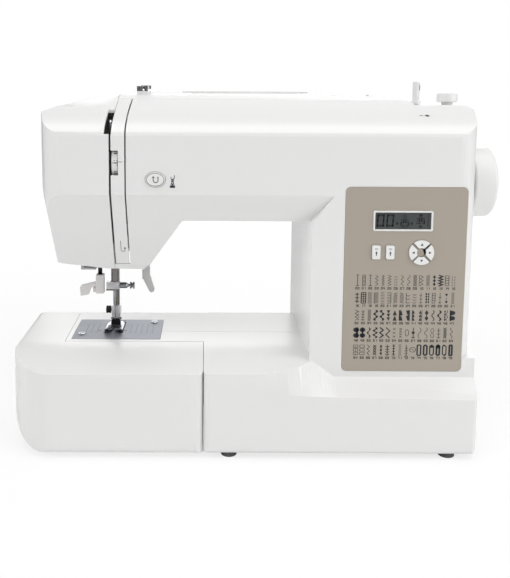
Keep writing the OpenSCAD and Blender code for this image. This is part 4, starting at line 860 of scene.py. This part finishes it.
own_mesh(spring)

# Presser lifter
# A moulded lever hangs under the head behind the presser bar. Its cam end lifts the bar, and the
# finger piece is cranked to the right.
# This white is lighter than the covers': painted light to offset the shade under the head. The winder's
# stop collar wears it too.
white_lightened_against_shade = surface("lever_white_abs_lightened_against_shade", (0.88, 0.88, 0.865), 0.36, pitch=2200, grain=0.0002)
wear(white_lightened_against_shade, "lifter_lever")
soften(0.0009, "lifter_lever")

# Needle threader
# A moulded block on a dark sliding rod, with a curved wing to press. It swings a hook through the
# needle's eye. A small guard plate is moulded under the head beside it.
wear(surface("threader_plastic", (0.84, 0.815, 0.805), 0.4, tone=0.12, patch=150, pitch=2000),
     "needle_threader")
soften(0.0004, "needle_threader", segments=2)
rod = bmesh.new()
rod_radius = 1.96
turn(rod, [(0, rod_radius), (15.5, rod_radius)], (nx - 12.9, ny - 3, 129.1), "z", steps=28)
made("threader_rod", rod, "threader", dark_steel)
claw = bmesh.new()
block(claw, [(nx - 13.5, 113.6), (nx - 9.2, 113.6), (nx - 9.2, 112.4), (nx - 10.2, 111.6),
             (nx - 13.5, 111.6)], "y", ny - 4.4, ny - 1.6)
made("threader_claw", claw, "threader", dark_steel, 0.2)
guard = bmesh.new()
block(guard, [(nx - 29, 135.0), (nx - 15.6, 135.0), (nx - 15.6, 136.8), (nx - 26.4, 136.8),
              (nx - 26.4, 149.5), (nx - 29, 149.5)], "y", ny - 11, ny - 3)
made("threader_guard", guard, "machine",
     surface("guard_grey", (0.56, 0.56, 0.555), 0.4, tone=0.1, patch=150), 0.3)

# Handwheel
# Moulded in white ABS with a dished outer face, keyed to the arm shaft. Turning it by hand moves
# the needle.
wear(small_white, "handwheel")
soften(0.0006, "handwheel", angle=35, segments=2)

# Frame and drive
# A cast aluminium frame inside the covers carries the shafts in bronze bushes. A motor under the
# arm drives the arm shaft by belt, and a toothed belt drives the lower shaft.
wear(surface("cast_aluminium", (0.50, 0.50, 0.51), 0.55, 0.8, tone=0.2, spread=0.1, patch=60,
             pitch=900, grain=0.0008, strength=0.3), "frame_casting")
wear(turned, "arm_shaft", "crank_disc", "lower_shaft", "motor_pulley", "winder_arm")
wear(surface("bearing_bronze", (0.42, 0.26, 0.12), 0.4, 1.0, tone=0.3, patch=200), "bushes")
wear(surface("pulley_nylon", (0.09, 0.09, 0.095), 0.45, tone=0.2, patch=90), "arm_pulley")
wear(surface("motor_paint", (0.055, 0.055, 0.06), 0.38, 0.3, tone=0.3, patch=70, pitch=1600),
     "motor")
wear(surface("belt_rubber", (0.018, 0.018, 0.018), 0.7, tone=0.4, patch=160, pitch=1500,
             strength=0.3), "motor_belt", "timing_belt")

# Hook, bobbin case and bobbin
# An oscillating hook runs in a steel race behind the little door in the front of the free arm. The
# bobbin case is pressed steel and clips over the hook's centre pin.
wear(turned, "hook_race")
wear(polished, "shuttle_hook", "bobbin_case", "bobbin")

# Circuit board
# A green glass-fibre board on posts behind the panel carries the display and the key switches.
wear(surface("green_board", (0.02, 0.11, 0.045), 0.4, tone=0.5, patch=260, pitch=2600), "circuit_board")

# Base plate, feet and cover screws
# The base is closed by a painted steel plate. Four rubber feet are pushed into it, and plated
# screws hold the rear cover and the needle plate.
wear(surface("base_paint", (0.30, 0.30, 0.305), 0.5, 0.4, tone=0.12, patch=40, pitch=1500,
             strength=0.25), "base_plate")
wear(surface("foot_rubber", (0.10, 0.10, 0.105), 0.75, tone=0.3, patch=120, pitch=1600,
             strength=0.3), "rubber_feet")
soften(0.0006, "rubber_feet")
wear(surface("plated_screw", (0.50, 0.51, 0.53), 0.26, 1.0, tone=0.2, patch=220), "screws")

# Mains inlet and power switch
# The inlet is a black moulded socket with two pins, and the rocker above it is marked with a bar
# and a ring. Both snap into the right side of the rear cover.
black_plastic = surface("black_plastic", (0.022, 0.022, 0.024), 0.42, tone=0.3, patch=130, pitch=1900)
wear(black_plastic, "power_socket", "power_switch")
soften(0.0004, "power_socket", "power_switch", segments=2)
socket_low, socket_high = [corner * 1000 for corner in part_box("power_socket")]
socket_y = (socket_low.y + socket_high.y) / 2
socket_z = (socket_low.z + socket_high.z) / 2
pins = bmesh.new()
pin_profile = [(0, 1.15), (6.6, 1.15), (7.2, 0.6)]
for offset in (-4.3, 4.3):
    turn(pins, pin_profile, (176.0, socket_y + offset, socket_z), "x", steps=20)
made("inlet_pins", pins, "machine", polished)
right_view = ((0, 1, 0), (0, 0, 1), (-1, 0, 0))
switch_low, switch_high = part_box("power_switch")
switch_middle = (switch_low + switch_high) / 2
switch_ink = surface("switch_ink", (0.75, 0.75, 0.75), 0.5, tone=0.1, patch=300)
switch_marks = [stroke([(-0.4, 4.6), (0.4, 4.6)], 3.0)] + hoop(0, -4.4, 1.6, 1.9, 0.5, 20)
slabs("switch_marks", "rocker", switch_ink, switch_marks,
      skin("power_switch", (0, switch_middle.y, switch_middle.z), *right_view))

# Bobbin winder
# A post with a pale moulded sleeve takes the bobbin, gripped by a small dark spring blade. The
# white round stop beside it ends the winding, and a bobbin mark is printed on the crown below.
wear(surface("winder_sleeve", (0.80, 0.80, 0.805), 0.42, tone=0.03, patch=120, stretch=(1, 1, 0.1)),
     "winder_spindle")
wear(small_white, "winder_stop")
soften(0.0012, "winder_stop", angle=50)
soften(0.0008, "winder_spindle", angle=50, segments=2)
post_low, post_high = [corner * 1000 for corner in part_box("winder_spindle")]
post_x, post_y = (post_low.x + post_high.x) / 2, (post_low.y + post_high.y) / 2
blade = bmesh.new()
blade_outline = [(2.5, 8.4), (3.2, 7.6), (3.4, 4.0), (2.9, 1.4), (2.3, 1.0), (2.3, 8.4)]
block(blade, [(post_x + out, post_high.z - down) for out, down in blade_outline],
      "y", post_y - 0.8, post_y + 0.8)
made("winder_blade", blade, "winder_post", dark_steel, 0.15)
stop_low, stop_high = [corner * 1000 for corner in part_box("winder_stop")]
collar = bmesh.new()
turn(collar, [(0.1, 4.3), (0.1, 4.75), (2.2, 4.75), (2.2, 4.3)],
     ((stop_low.x + stop_high.x) / 2, (stop_low.y + stop_high.y) / 2, stop_low.z), "z", steps=36)
made("stop_collar", collar, "machine", white_lightened_against_shade)
top_view = ((1, 0, 0), (0, 1, 0), (0, 0, -1))
bobbin_mark = (disc(2.2, 0, 1.6, 1.3) + disc(-2.6, 0.3, 0.8)
               + [stroke([(-4.4, 0), (4.6, -0.6)], 0.5)])
slabs("bobbin_mark", "machine", ink, bobbin_mark,
      skin("front_cover", (0.1345, -0.0430, 0.29), *top_view))

# Spool pin, cap and carrying handle
# The reel lies on a white moulded pin in a well behind the crest, held by a push-on cap. The
# handle folds flat into its own well.
wear(small_white, "spool_pin", "spool_cap", "carry_handle")
soften(0.0006, "spool_cap", "carry_handle")
